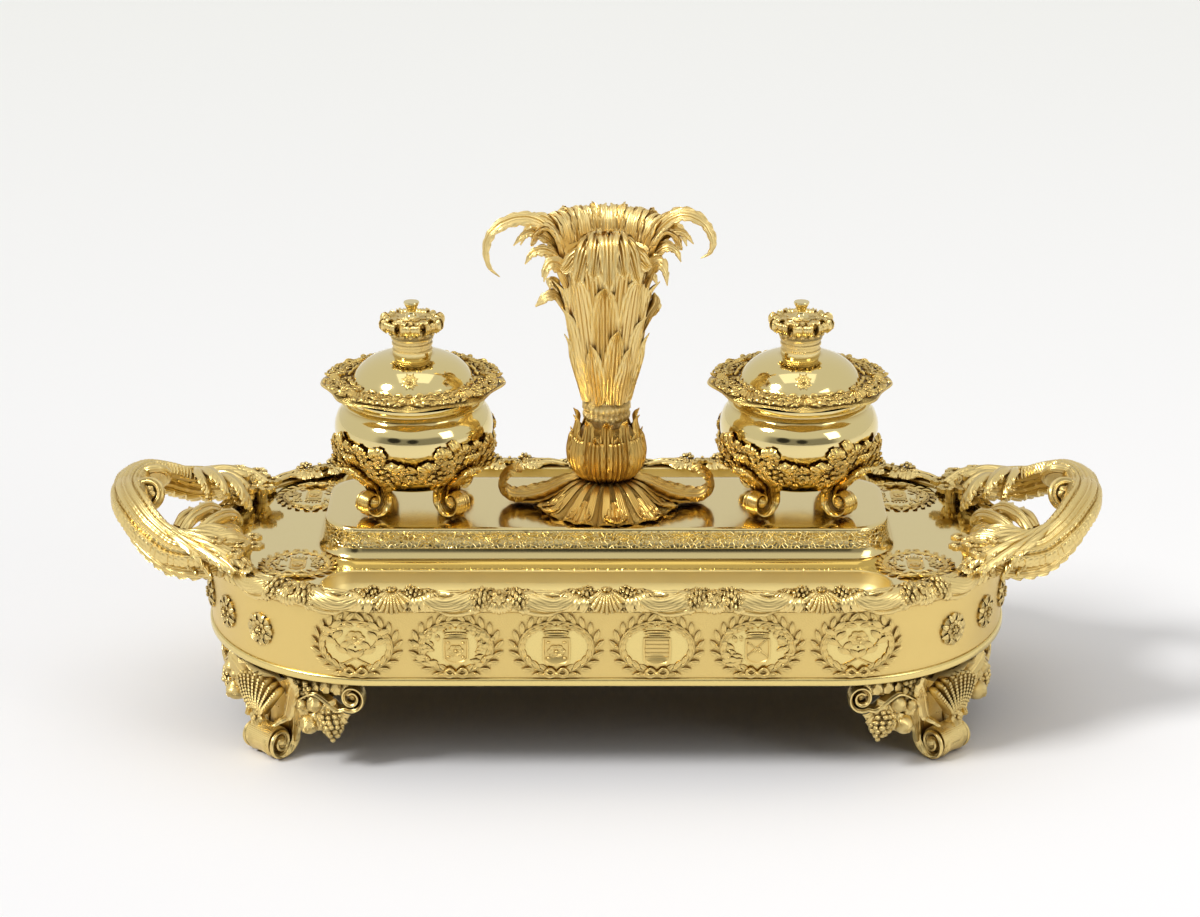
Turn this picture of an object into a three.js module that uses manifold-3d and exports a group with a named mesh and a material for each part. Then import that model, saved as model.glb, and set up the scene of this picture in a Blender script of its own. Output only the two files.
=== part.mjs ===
// Desk inkstand: an oblong footed tray with two leaf handles, a raised platform,
// two pen troughs, two lidded ink pots and a leaf-shaped pen vase.
// Millimetres. +X runs along the tray, -Y is its front, +Z is up.
// The origin lies under the middle of the tray, on the table.

import * as THREE from 'three';
import { mergeVertices } from 'three/addons/utils/BufferGeometryUtils.js';
import Module from 'manifold-3d';

const wasm = await Module();
wasm.setup();

// Fits, shared by all pieces
const clearance = 0.3;
const overrun = 1;
const rooting = 1.4;
const weld = 0.001;

// Facets round the parts that turn or curve
const roundSides = 8;
const nutSides = 6;
const bunchSides = 7;
const voluteSides = 12;
const medallionSides = 12;
const potSides = 20;
const vaseSides = 18;
const trayArcSteps = 11;
const cornerArcSteps = 4;
const borderSteps = 4;
const lobeSteps = 3;
const handleSteps = 22;

// Tray
const trayEndReach = 78.6;
const footHeight = 43.8;
const basePlateThickness = 3.8;
const basePlateLip = 1;
const bandHeight = 32.6;
const bandWall = 1.6;
const deckThickness = 1.8;

// Leaf border on the tray's edge
const borderLipDrop = 4.7;
const borderOverhang = 1.2;
const borderLipThickness = 1.6;
const borderWidth = 5.2;
const borderWave = 0.9;
const borderCrestHeight = 4.4;
const borderCrestDip = 1.2;
const borderEdgeHeight = 2;
const borderCrests = 18;

// Platform, long enough for the two pots that stand on it
const platformEndMargin = 12.1;
const platformSideMargin = 6.3;
const platformCorner = 17.5;
const platformHeight = 13.2;
const platformFlare = 2.6;
const platformWall = 1.8;
const deckEndLength = 52.8;

// Pen troughs
const troughEndInset = 56;
const troughWidth = 26;
const troughDepth = 9;
const troughWall = 1.2;
const troughFlange = 2;
const troughEdgeInset = 6.4;
const troughPlatformGap = 17.7;

// Feet
const footSpread = 48;
const footStandOut = 3.8;
const footVoluteRadius = 9;
const footVoluteHalfWidth = 11;
const footLegDepth = 19;
const footTopHalfWidth = 17;
const footWingSpan = 39;
const footWingOut = 3;
const footWingThickness = 8;
const footBunchRadius = 6.6;
const footBunchLength = 19.8;
const footBunchShare = 0.62;
const footBunchLow = 11;

// Studs and nuts
const studRadius = 2;
const nutRadius = 4.6;
const nutHeight = 3.4;
const studOverNut = 1;
const footStudEndInset = 8.6;
const footStudSideInset = 12.9;

// Handles
const handleRootInset = 12.2;
const handleRootY = 36;
const handleHalfSpan = 44;
const handleReach = 53.5;
const handleRise = 21;
const handleHalfWidth = 7.6;
const handleHalfThickness = 5.6;
const handlePadRadius = 3.8;
const handlePadHeight = 3.8;
const handleEyeRadius = 9;
const handleEyeHalfWidth = 7;
const handleLeafLength = 22;
const handleLeafHalfWidth = 7;
const handleLeafHalfThickness = 2;
const handleLeafRise = 14;

// Medallions
const bandMedallionHalfWidth = 18.5;
const bandMedallionHalfHeight = 13.6;
const bandMedallionEndInset = 70;
const bandMedallionsPerSide = 6;
const bandMedallionLift = 0.5;
const deckMedallionRadius = 15.6;
const deckMedallionEndGap = 9.8;
const deckMedallionSideGap = 8.2;
const medallionField = 0.9;
const backRingShare = 0.5;
const wreathCrestShare = 0.92;
const fieldShare = 0.74;
const wreathHeight = 2.2;
const rosetteRadius = 8;
const rosetteHeight = 1.8;
const rosettePetals = 6;
const rosetteNotchShare = 0.72;
const rosetteAngles = [14, 32, 50];

// Ink pots
const potSpacing = 83.6;
const bowlLift = 11.2;
const bowlRadius = 34.4;
const bowlHeight = 40.4;
const bowlWall = 1.6;
const linerRadius = 21.5;
const linerWall = 2;
const linerDepth = 34.5;
const linerFlangeRadius = 28.5;
const linerFlangeThickness = 1.4;
const linerRelief = 0.4;
const lidRadius = 39.6;
const lidLobe = 1.6;
const lidLobes = 8;
const lidHeight = 17.6;
const lidNeckRadius = 8.7;
const lidShoulderShare = 0.84;
const lidPlugDepth = 3;
const lidPlugWall = 1.5;
const crownHeight = 12.6;
const crownRadius = 12.6;
const crownLobe = 0.5;
const knobHeight = 8.8;
const knobRadius = 3.4;
const knobStudRadius = 1.2;
const knobStudLength = 16;

// Pot stands
const standFootRadius = 26.5;
const standVoluteRadius = 4.5;
const standLegHalfWidth = 5;
const standLegHalfThickness = 2.3;
const standRingThickness = 1.9;
const standRingLow = 14.5;
const standRingHigh = 29.5;
const standAnkleRadius = 24.5;

// Pen vase
const vaseBaseHeight = 12.3;
const vaseBaseRadius = 30.7;
const vaseBaseTipReach = 45;
const vaseSkirtScallop = 1.8;
const vaseBaseScallops = 8;
const vaseTipSharpness = 12;
const vaseTipHalfWidth = 4.5;
const calyxHeight = 28.5;
const calyxRadius = 15.8;
const calyxNeckRadius = 9;
const calyxLeafRise = 1;
const calyxLeaves = 8;
const calyxFlute = 0.65;
const calyxLeafHalfWidth = 3.6;
const vaseHeight = 76;
const vaseMouthRadius = 19;
const vaseFootRadius = 10.2;
const socketFloorShare = 0.9;
const vaseWall = 2.2;
const socketDepth = 60;
const plumeRise = 16;
const leafHalfThickness = 1.5;
const frondHalfWidth = 8;
const curlReachLeft = 53.8;
const curlReachRight = 47.1;
const crestReach = 32.6;
const crestRise = 10.5;
const crestHalfWidth = 9.6;
const droopRise = 9;

// Lengths that follow
const platformHalfLength = potSpacing + standFootRadius + platformEndMargin;
const platformHalfDepth = standFootRadius + platformSideMargin;
const trayHalfLength = platformHalfLength + deckEndLength;
const trayHalfDepth = platformHalfDepth + troughPlatformGap + troughWidth + troughEdgeInset;
const troughHalfLength = trayHalfLength - troughEndInset;
const deckMedallionX = platformHalfLength + deckMedallionEndGap;
const deckMedallionY = platformHalfDepth + deckMedallionSideGap;
const bandMedallionPitch =
  2 * (trayHalfLength - bandMedallionEndInset) / (bandMedallionsPerSide - 1);

// Heights that follow
const basePlateTop = footHeight + basePlateThickness;
const deckTop = basePlateTop + bandHeight + deckThickness;
const deckUnder = deckTop - deckThickness;
const platformTop = deckTop + platformHeight;
const studBore = studRadius + clearance;
const fullTurn = 2 * Math.PI;

// Closed surfaces

// Joins rings of equal length into one closed surface, as a loop or with flat ends.
function loft(rings, loop = false) {
  const count = rings[0].length;
  const points = rings.flat();
  const index = [];
  const spans = loop ? rings.length : rings.length - 1;
  for (let i = 0; i < spans; i++) {
    const a = i * count;
    const b = ((i + 1) % rings.length) * count;
    for (let j = 0; j < count; j++) {
      const k = (j + 1) % count;
      index.push(a + j, a + k, b + k, a + j, b + k, b + j);
    }
  }
  if (!loop) {
    const last = (rings.length - 1) * count;
    fanCap(points, index, 0, count, true);
    fanCap(points, index, last, count, false);
  }
  const geometry = new THREE.BufferGeometry();
  geometry.setAttribute('position', new THREE.Float32BufferAttribute(points.flat(), 3));
  geometry.setIndex(index);
  return solid(geometry);
}

// Closes a ring with a fan from its middle.
function fanCap(points, index, start, count, reversed) {
  const ring = points.slice(start, start + count);
  const middle = [0, 1, 2].map((axis) => ring.reduce((sum, p) => sum + p[axis], 0) / count);
  points.push(middle);
  const centre = points.length - 1;
  for (let j = 0; j < count; j++) {
    const a = start + j;
    const b = start + ((j + 1) % count);
    index.push(centre, reversed ? b : a, reversed ? a : b);
  }
}

// Turns a closed geometry into a solid whose faces point out.
function solid(geometry) {
  const bare = geometry.clone();
  bare.deleteAttribute('normal');
  bare.deleteAttribute('uv');
  const merged = mergeVertices(bare, weld / 10);
  const corners = merged.index.array;
  const kept = [];
  for (let i = 0; i < corners.length; i += 3) {
    const [a, b, c] = [corners[i], corners[i + 1], corners[i + 2]];
    if (a !== b && b !== c && c !== a) kept.push(a, b, c);
  }
  const made = solidOfTriangles(merged.attributes.position.array, kept);
  if (made.volume() >= 0) return made;
  const turned = [];
  for (let i = 0; i < kept.length; i += 3) turned.push(kept[i], kept[i + 2], kept[i + 1]);
  return solidOfTriangles(merged.attributes.position.array, turned);
}

function solidOfTriangles(positions, triangles) {
  const vertProperties = new Float32Array(positions);
  const triVerts = new Uint32Array(triangles);
  return new wasm.Manifold(new wasm.Mesh({ numProp: 3, vertProperties, triVerts }));
}

function join(...solids) {
  return solids.flat().reduce((whole, next) => whole.add(next));
}

function cut(whole, ...tools) {
  return tools.flat().reduce((left, tool) => left.subtract(tool), whole);
}

function geometryOf(made) {
  const mesh = made.getMesh();
  const geometry = new THREE.BufferGeometry();
  geometry.setAttribute('position', new THREE.Float32BufferAttribute(mesh.vertProperties, 3));
  geometry.setIndex(new THREE.Uint32BufferAttribute(mesh.triVerts, 1));
  geometry.computeVertexNormals();
  return geometry;
}

// Basic solids

// The height of a level bar's axis over the flat that it lies on.
function flatHeight(radius, sides) {
  return radius * Math.cos(Math.PI / sides);
}

// An upright round bar from one height to another.
function rod(radius, low, high, sides, x = 0, y = 0) {
  const bar = new THREE.CylinderGeometry(radius, radius, high - low, sides);
  bar.rotateX(Math.PI / 2);
  bar.translate(x, y, (low + high) / 2);
  return solid(bar);
}

// A round bar that lies level on one of its flats, its axis turned from +X by `turn`.
function roller(radius, halfWidth, sides, x, y, z, turn) {
  const bar = new THREE.CylinderGeometry(radius, radius, 2 * halfWidth, sides);
  bar.rotateY(Math.PI / sides);
  bar.rotateZ(Math.PI / 2);
  bar.rotateZ(turn);
  bar.translate(x, y, z);
  return solid(bar);
}

// A turned piece from a closed or axis-to-axis list of [radius, height].
function turned(profile, sides) {
  const points = profile.map(([r, z]) => new THREE.Vector2(r, z));
  const geometry = new THREE.LatheGeometry(points, sides);
  geometry.rotateX(Math.PI / 2);
  return solid(geometry);
}

// A turned piece whose radius varies round the axis: `radiusAt(row, angle)` gives it.
function lobed(rows, sides, radiusAt, heightAt) {
  const rings = rows.map((row) =>
    Array.from({ length: sides }, (_, i) => {
      const angle = (i / sides) * fullTurn;
      const r = radiusAt(row, angle);
      return [r * Math.cos(angle), r * Math.sin(angle), heightAt(row, angle)];
    }),
  );
  return loft(rings);
}

// The value at `share` of the way through a list of evenly spaced values.
function along(values, share) {
  const place = share * (values.length - 1);
  const i = Math.min(Math.floor(place), values.length - 2);
  return values[i] + (values[i + 1] - values[i]) * (place - i);
}

// A bar or leaf along a smooth curve, with elliptical sections.
// `across` is the direction of its width, turned square to the curve.
function ribbon(path, across, halfWidths, halfThicks, steps, sides = 6) {
  const curve = new THREE.CatmullRomCurve3(path.map((p) => new THREE.Vector3(...p)));
  const wide = new THREE.Vector3(...across);
  const rings = [];
  for (let i = 0; i <= steps; i++) {
    const share = i / steps;
    const middle = curve.getPoint(share);
    const forward = curve.getTangent(share);
    const thick = forward.clone().cross(wide).normalize();
    const side = thick.clone().cross(forward).normalize();
    const w = along(halfWidths, share);
    const t = along(halfThicks, share);
    rings.push(Array.from({ length: sides }, (_, j) => {
      const angle = ((j + 0.5) / sides) * fullTurn;
      const p = middle.clone();
      p.addScaledVector(side, w * Math.cos(angle));
      p.addScaledVector(thick, t * Math.sin(angle));
      return p.toArray();
    }));
  }
  return loft(rings);
}

// Plan outlines: each gives the points of a rounded oblong, grown by an offset.
function roundedPlan(halfLength, halfDepth, cornerX, cornerY, steps) {
  const corners = [[1, 1, 0], [-1, 1, 1], [-1, -1, 2], [1, -1, 3]];
  return (offset) => {
    const points = [];
    for (const [sx, sy, quarter] of corners) {
      for (let i = 0; i <= steps; i++) {
        const angle = (quarter + i / steps) * (Math.PI / 2);
        const x = sx * (halfLength - cornerX) + (cornerX + offset) * Math.cos(angle);
        const y = sy * (halfDepth - cornerY) + (cornerY + offset) * Math.sin(angle);
        const near = points.some(([px, py]) => Math.hypot(px - x, py - y) < weld);
        if (!near) points.push([x, y]);
      }
    }
    return points;
  };
}

// Sweeps a profile of [offset, height] round a plan outline, with flat ends or as a loop.
function sweepPlan(plan, profile, loop = false) {
  return loft(profile.map(([offset, z]) => plan(offset).map(([x, y]) => [x, y, z])), loop);
}

const trayPlan = roundedPlan(
  trayHalfLength, trayHalfDepth, trayEndReach, trayHalfDepth, trayArcSteps);
const platformPlan = roundedPlan(
  platformHalfLength, platformHalfDepth, platformCorner, platformCorner, cornerArcSteps);
const troughPlan = roundedPlan(
  troughHalfLength, troughWidth / 2, troughWidth / 2, troughWidth / 2, cornerArcSteps);
const troughCentre = trayHalfDepth - troughEdgeInset - troughWidth / 2;

// The point on the band's front at a distance along it from the middle, and its outward normal.
const straightHalf = trayHalfLength - trayEndReach;
function bandPoint(distance, out) {
  const rx = trayEndReach - basePlateLip;
  const ry = trayHalfDepth - basePlateLip;
  const side = Math.sign(distance) || 1;
  const past = Math.max(Math.abs(distance) - straightHalf, 0);
  const angle = past / ((rx + ry) / 2);
  const inStraight = Math.min(Math.abs(distance), straightHalf);
  const normal = new THREE.Vector2(Math.sin(angle) / rx, -Math.cos(angle) / ry).normalize();
  const x = inStraight + rx * Math.sin(angle) + out * normal.x;
  const y = -ry * Math.cos(angle) + out * normal.y;
  return [side * x, y];
}

// The outline of the tray walked in even steps, with normals, for the leaf border.
function trayWalk(steps) {
  const outline = trayPlan(0);
  const closed = [...outline, outline[0]].map(([x, y]) => new THREE.Vector3(x, y, 0));
  const path = new THREE.CurvePath();
  for (let i = 1; i < closed.length; i++) path.add(new THREE.LineCurve3(closed[i - 1], closed[i]));
  return Array.from({ length: steps }, (_, i) => {
    const p = path.getPointAt(i / steps);
    const cx = Math.sign(p.x) * Math.max(Math.abs(p.x) - straightHalf, 0);
    const n = new THREE.Vector2(cx / trayEndReach ** 2, p.y / trayHalfDepth ** 2).normalize();
    return { x: p.x, y: p.y, nx: n.x, ny: n.y };
  });
}

// Pieces of the tray

function basePlate(studs) {
  const low = footHeight;
  const plate = sweepPlan(trayPlan, [[-basePlateLip, low], [0, low + basePlateLip],
    [0, basePlateTop - basePlateLip], [-basePlateLip, basePlateTop]]);
  const bores = studs.map(([x, y]) =>
    rod(studBore, low - overrun, basePlateTop + overrun, roundSides, x, y));
  return cut(plate, bores);
}

// The rings of a rosette, as points [along, up, out] from its middle on the band's face.
function rosetteRings() {
  const steps = rosettePetals * 2;
  const ring = (share, out) => Array.from({ length: steps }, (_, i) => {
    const r = rosetteRadius * share * (i % 2 ? rosetteNotchShare : 1);
    const angle = (i / steps) * fullTurn;
    return [r * Math.cos(angle), r * Math.sin(angle), out];
  });
  return [ring(1, -rooting), ring(1, rosetteHeight / 2), ring(0, rosetteHeight)];
}

function rosette(degrees, sx, sy) {
  const [rx, ry] = [trayEndReach - basePlateLip, trayHalfDepth - basePlateLip];
  const angle = THREE.MathUtils.degToRad(degrees);
  const [x, y] = [rx * Math.cos(angle), ry * Math.sin(angle)];
  const turn = Math.atan2(y / ry ** 2, x / rx ** 2);
  const middle = basePlateTop + bandMedallionHalfHeight;
  const rings = rosetteRings().map((ring) => ring.map(([along, up, out]) => [
    sx * (straightHalf + x + out * Math.cos(turn) - along * Math.sin(turn)),
    sy * (y + out * Math.sin(turn) + along * Math.cos(turn)),
    middle + up,
  ]));
  return loft(rings);
}

function sideBand() {
  const outer = -basePlateLip;
  const inner = outer - bandWall;
  const wall = sweepPlan(trayPlan, [[outer, basePlateTop], [outer, deckUnder],
    [inner, deckUnder], [inner, basePlateTop]], true);
  const flowers = rosetteAngles.flatMap((degrees) =>
    [[1, 1], [-1, 1], [-1, -1], [1, -1]].map(([sx, sy]) => rosette(degrees, sx, sy)));
  return join(wall, flowers);
}

function deckPlate(studs) {
  const plate = sweepPlan(trayPlan, [[-basePlateLip, deckUnder], [-basePlateLip, deckTop]]);
  const slots = [-1, 1].map((side) =>
    sweepPlan(troughPlan, [[0, deckUnder - overrun], [0, deckTop + overrun]])
      .translate(0, side * troughCentre, 0));
  const bores = studs.map(([x, y]) =>
    rod(studBore, deckUnder - overrun, deckTop + overrun, roundSides, x, y));
  return cut(plate, slots, bores);
}

// A long pan with a rounded floor, hung under the deck by its flange.
function troughPan() {
  const half = troughWidth / 2;
  const floorShares = [[0, 0], [-0.14, 0.48], [-0.48, 0.86], [-0.92, 1]];
  const inner = floorShares.map(([o, z]) => [o * half, deckUnder - z * troughDepth]);
  const outer = inner.map(([o, z]) => [o + troughWall * (1 + o / half), z - troughWall]);
  const flange = [[troughFlange, deckUnder - troughWall], [troughFlange, deckUnder]];
  return sweepPlan(troughPlan, [...outer.slice(1).reverse(), ...flange, ...inner]);
}

// A raised tray within the tray: a flat top on coved sides, hollow beneath.
function platform() {
  const coveShares = [[-0.2, 1], [0, 0.9], [0.1, 0.7], [0.35, 0.42], [0.9, 0.16], [1, 0]];
  const outer = coveShares.map(([o, z]) => [o * platformFlare, deckTop + z * platformHeight]);
  const inner = outer.map(([o, z]) => [o - platformWall, Math.min(z, platformTop - platformWall)]);
  const shell = sweepPlan(platformPlan, [...outer, ...inner.reverse()]);
  return cut(shell, rod(studBore, deckTop, platformTop + overrun, roundSides));
}

// The cast border: a moulding over the deck's edge whose leaves rise, fall and reach inwards.
function leafBorder() {
  const lip = clearance + clearance - basePlateLip;
  const rings = trayWalk(borderCrests * borderSteps).map(({ x, y, nx, ny }, i) => {
    const swell = Math.cos((i / borderSteps) * fullTurn);
    const inner = -borderWidth - borderWave * swell;
    const crest = borderCrestHeight - borderCrestDip * (1 - swell) / 2;
    const section = [
      [lip, deckTop - borderLipDrop],
      [lip + borderLipThickness, deckTop - borderLipDrop],
      [borderOverhang, deckTop],
      [borderOverhang, deckTop + borderEdgeHeight],
      [(borderOverhang + inner) / 2, deckTop + crest],
      [inner, deckTop + borderEdgeHeight / 2],
      [inner, deckTop],
      [lip, deckTop],
    ];
    return section.map(([offset, z]) => [x + nx * offset, y + ny * offset, z]);
  });
  return loft(rings, true);
}

// Feet

const footAngle = THREE.MathUtils.degToRad(footSpread);

// The arc that the feet's studs stand on follows the tray's end.
const studReach = trayEndReach - footStudEndInset;
const studHalfDepth = trayHalfDepth - footStudSideInset;

// A point so far out from that arc, turned by an angle off the foot's own.
function endPoint(out, turn, z) {
  const angle = footAngle + turn;
  const x = straightHalf + (studReach + out) * Math.cos(angle);
  return [x, (studHalfDepth + out) * Math.sin(angle), z];
}

function footStud(sx, sy) {
  const [x, y] = endPoint(0, 0, 0);
  return [sx * x, sy * y];
}

// One wing of a foot: a leafy bracket under the tray's edge that carries a bunch of fruit.
function footWing(side) {
  const span = THREE.MathUtils.degToRad(footWingSpan);
  const dropShares = [0.72, 0.58, 0.56, 0.68, 0.7, 0.52, 0.34, 0.24];
  const thicknessShares = [1, 0.95, 0.9, 0.86, 0.81, 0.76, 0.71, 0.67];
  const rings = dropShares.map((share, i) => {
    const turn = side * span * (i / (dropShares.length - 1));
    const half = footWingThickness / 2 * thicknessShares[i];
    const low = footHeight * (1 - share);
    const section = [[-half, footHeight], [half, footHeight], [half, low + half], [-half, low]];
    return section.map(([out, z]) => endPoint(footWingOut + out, turn, z));
  });
  const bunchShares = [[0, 0], [0.75, 0.2], [1, 0.6], [0, 1]];
  const bunch = turned(
    bunchShares.map(([r, z]) => [r * footBunchRadius, z * footBunchLength]), bunchSides);
  const [x, y, z] = endPoint(footWingOut, side * span * footBunchShare, footBunchLow);
  return [loft(rings), bunch.translate(x, y, z)];
}

// A foot: a scroll on the table, a shell-shaped leg above it, two wings and a stud for its nut.
function foot() {
  const axisHeight = flatHeight(footVoluteRadius, voluteSides);
  const volute = roller(footVoluteRadius, footVoluteHalfWidth, voluteSides,
    ...endPoint(footStandOut, 0, axisHeight), footAngle + Math.PI / 2);
  // Rows of the leg from top to bottom: height, outward reach, depth and width.
  const legShares = [
    [1, 0.44, 0.8, 1], [0.88, 0.4, 0.77, 1], [0.7, 0.2, 0.73, 0.82], [0.52, 0.02, 0.68, 0.7],
    [0.34, -0.04, 0.64, 0.66], [0.18, 0.02, 0.6, 0.66]];
  // A section of the leg: back to front as shares of its depth, and sideways of its half width.
  const sectionShares = [[0, -0.8], [0.8, -1], [1, -0.5], [1, 0.5], [0.8, 1], [0, 0.8]];
  const rings = legShares.map(([z, reach, depth, width]) => {
    const outer = footStandOut - footVoluteRadius + reach * footLegDepth;
    const inner = outer - depth * footLegDepth;
    return sectionShares.map(([r, t]) => {
      const turn = t * width * footTopHalfWidth / (studHalfDepth + footStandOut);
      return endPoint(inner + r * (outer - inner), turn, z * footHeight);
    });
  });
  const [x, y] = endPoint(0, 0, 0);
  const studTop = basePlateTop + nutHeight + studOverNut;
  const stud = rod(studRadius, footHeight - overrun, studTop, roundSides, x, y);
  return join(volute, loft(rings), footWing(1), footWing(-1), stud);
}

function nut(low) {
  return cut(rod(nutRadius, low, low + nutHeight, nutSides),
    rod(studBore, low - overrun, low + nutHeight + overrun, roundSides));
}

// Handles

const handleRootX = straightHalf - handleRootInset
  + trayEndReach * Math.sqrt(1 - (handleRootY / trayHalfDepth) ** 2);

// A leaf that rises from a handle's root and leans in over the deck.
function handleLeaf(y) {
  const pathShares = [[0.2, 0.3], [-0.2, 0.6], [-0.6, 1], [-0.95, 0.8]];
  const widthShares = [0.7, 1, 0.85, 0.3];
  const path = pathShares.map(([x, z]) => [
    handleRootX + x * handleLeafLength, y, deckTop + z * handleLeafRise]);
  const widths = widthShares.map((share) => share * handleLeafHalfWidth);
  return ribbon(path, [0, 1, 0], widths, [handleLeafHalfThickness, handleLeafHalfThickness], 4, 5);
}

// A leafy loop: two arms rise from pads on the deck, pass over the border and meet at the end.
function handle() {
  const armShares = [[0.14, 0.92, 0.56], [0.34, 1, 0.38], [0.55, 0.99, 0.32], [0.73, 0.89, 0.64],
    [0.88, 0.64, 0.93], [0.985, 0.27, 1]];
  const endShares = [1, 0, 0.96];
  const eyeShares = [0.8, -0.2, 1];
  const girthShares = [0.45, 0.7, 0.95, 1, 1, 1, 1, 1, 1, 0.95, 0.7, 0.45];
  const place = ([x, y, z]) => [
    handleRootX + x * handleReach, y * handleHalfSpan, deckTop + z * handleRise];
  const root = (side) => [handleRootX, side * handleRootY, deckTop + handlePadHeight];
  const arm = (side) => armShares.map(([x, y, z]) => place([x, side * y, z]));
  const path = [root(-1), ...arm(-1), place(endShares), ...arm(1).reverse(), root(1)];
  const widths = girthShares.map((share) => share * handleHalfWidth);
  const thicks = girthShares.map((share) => share * handleHalfThickness);
  const pieces = [
    ribbon(path, [0, 0, 1], widths, thicks, handleSteps),
    roller(handleEyeRadius, handleEyeHalfWidth, roundSides, ...place(eyeShares), Math.PI / 2),
  ];
  const studLow = deckUnder - nutHeight - studOverNut;
  for (const y of [-handleRootY, handleRootY]) {
    pieces.push(rod(handlePadRadius, deckTop, deckTop + handlePadHeight, roundSides, handleRootX, y));
    pieces.push(rod(studRadius, studLow, deckTop + overrun, roundSides, handleRootX, y));
    pieces.push(handleLeaf(y));
  }
  return join(pieces);
}

// Medallions: a flat back, a sunk field and a raised wreath round it.

function medallion(halfWidth, halfHeight, sides, place) {
  // Rings as a share of the half size and a height off the carrier.
  const rings = [[0, 0], [backRingShare, 0], [1, 0], [wreathCrestShare, wreathHeight],
    [fieldShare, medallionField], [0, medallionField]];
  return loft(rings.map(([share, out]) =>
    Array.from({ length: sides }, (_, i) => {
      const angle = (i / sides) * fullTurn;
      return place(share * halfWidth * Math.cos(angle), share * halfHeight * Math.sin(angle), out);
    })));
}

function bandMedallion(distance) {
  const middle = basePlateTop + bandMedallionLift + bandMedallionHalfHeight;
  return medallion(bandMedallionHalfWidth, bandMedallionHalfHeight, medallionSides,
    (along, up, out) => [...bandPoint(distance + along, clearance + out), middle + up]);
}

function deckMedallion() {
  return medallion(deckMedallionRadius, deckMedallionRadius, medallionSides,
    (x, y, out) => [x, y, deckTop + out]);
}

// Ink pots, each modelled round the Z axis

const potBottom = platformTop + bowlLift;
const bowlRim = potBottom + bowlHeight;
const lidSeat = bowlRim + linerFlangeThickness;
const lidTop = lidSeat + lidHeight;
const knobBore = knobStudRadius + clearance;
const bowlShares = [[0.4, 0], [0.64, 0.05], [0.8, 0.2], [0.9, 0.4], [1, 0.68], [0.98, 0.8],
  [0.87, 0.91], [0.88, 1]];

function bowlProfile(grow) {
  return bowlShares.map(([r, z]) => [r * bowlRadius + grow, potBottom + z * bowlHeight]);
}

function bowlRadiusAt(z) {
  const profile = bowlProfile(0);
  const i = Math.max(1, profile.findIndex(([, height]) => height >= z));
  const [r0, z0] = profile[i - 1];
  const [r1, z1] = profile[i];
  return r0 + (r1 - r0) * (z - z0) / (z1 - z0);
}

function potBowl() {
  const inside = bowlProfile(-bowlWall).map(([r, z]) => [r, Math.max(z, potBottom + bowlWall)]);
  inside[0][0] = 0;
  return turned([[0, potBottom], ...bowlProfile(0), ...inside.reverse()], potSides);
}

// The ring of a pot's stand follows the bowl from one height to another.
function standRing(gap) {
  const low = platformTop + standRingLow;
  const high = platformTop + standRingHigh;
  const bends = bowlProfile(0).map(([, z]) => z).filter((z) => z > low && z < high);
  const heights = [low, ...bends, high];
  const inner = heights.map((z) => [bowlRadiusAt(z) + gap, z]);
  const outer = inner.map(([r, z]) => [r + standRingThickness, z]);
  return turned([...outer, ...inner.reverse(), outer[0]], potSides);
}

// A scroll-footed stand: four legs that hug the bowl, on scrolls that lie on the platform.
function potStand() {
  const gap = clearance + clearance / 2;
  const heightShares = [0.92, 0.7, 0.48, 0.26, 0.15];
  const widthShares = [0.8, 1, 0.85, 0.8, 0.8];
  const radii = heightShares.map((share) => {
    const z = Math.max(share * standRingHigh, bowlLift) + standLegHalfThickness;
    return bowlRadiusAt(platformTop + z) + gap + standLegHalfThickness;
  });
  radii.splice(-2, 2, standAnkleRadius, standAnkleRadius);
  const widths = widthShares.map((share) => share * standLegHalfWidth);
  const pieces = [standRing(gap)];
  for (let i = 0; i < 4; i++) {
    const angle = (i + 0.5) * (Math.PI / 2);
    const [c, s] = [Math.cos(angle), Math.sin(angle)];
    const path = radii.map((r, k) => [r * c, r * s, platformTop + heightShares[k] * standRingHigh]);
    pieces.push(ribbon(path, [-s, c, 0], widths, [standLegHalfThickness, standLegHalfThickness], 5));
    pieces.push(roller(standVoluteRadius, standLegHalfWidth, roundSides, standFootRadius * c,
      standFootRadius * s, platformTop + flatHeight(standVoluteRadius, roundSides),
      angle + Math.PI / 2));
  }
  return join(pieces);
}

function potLiner() {
  const floor = bowlRim - linerDepth;
  const bore = linerRadius - linerWall;
  return turned([[0, floor], [bore, floor], [linerRadius, floor + linerWall],
    [linerRadius, bowlRim], [linerFlangeRadius, bowlRim], [linerFlangeRadius, lidSeat],
    [bore, lidSeat], [bore, floor + linerWall], [0, floor + linerWall]], potSides);
}

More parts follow.
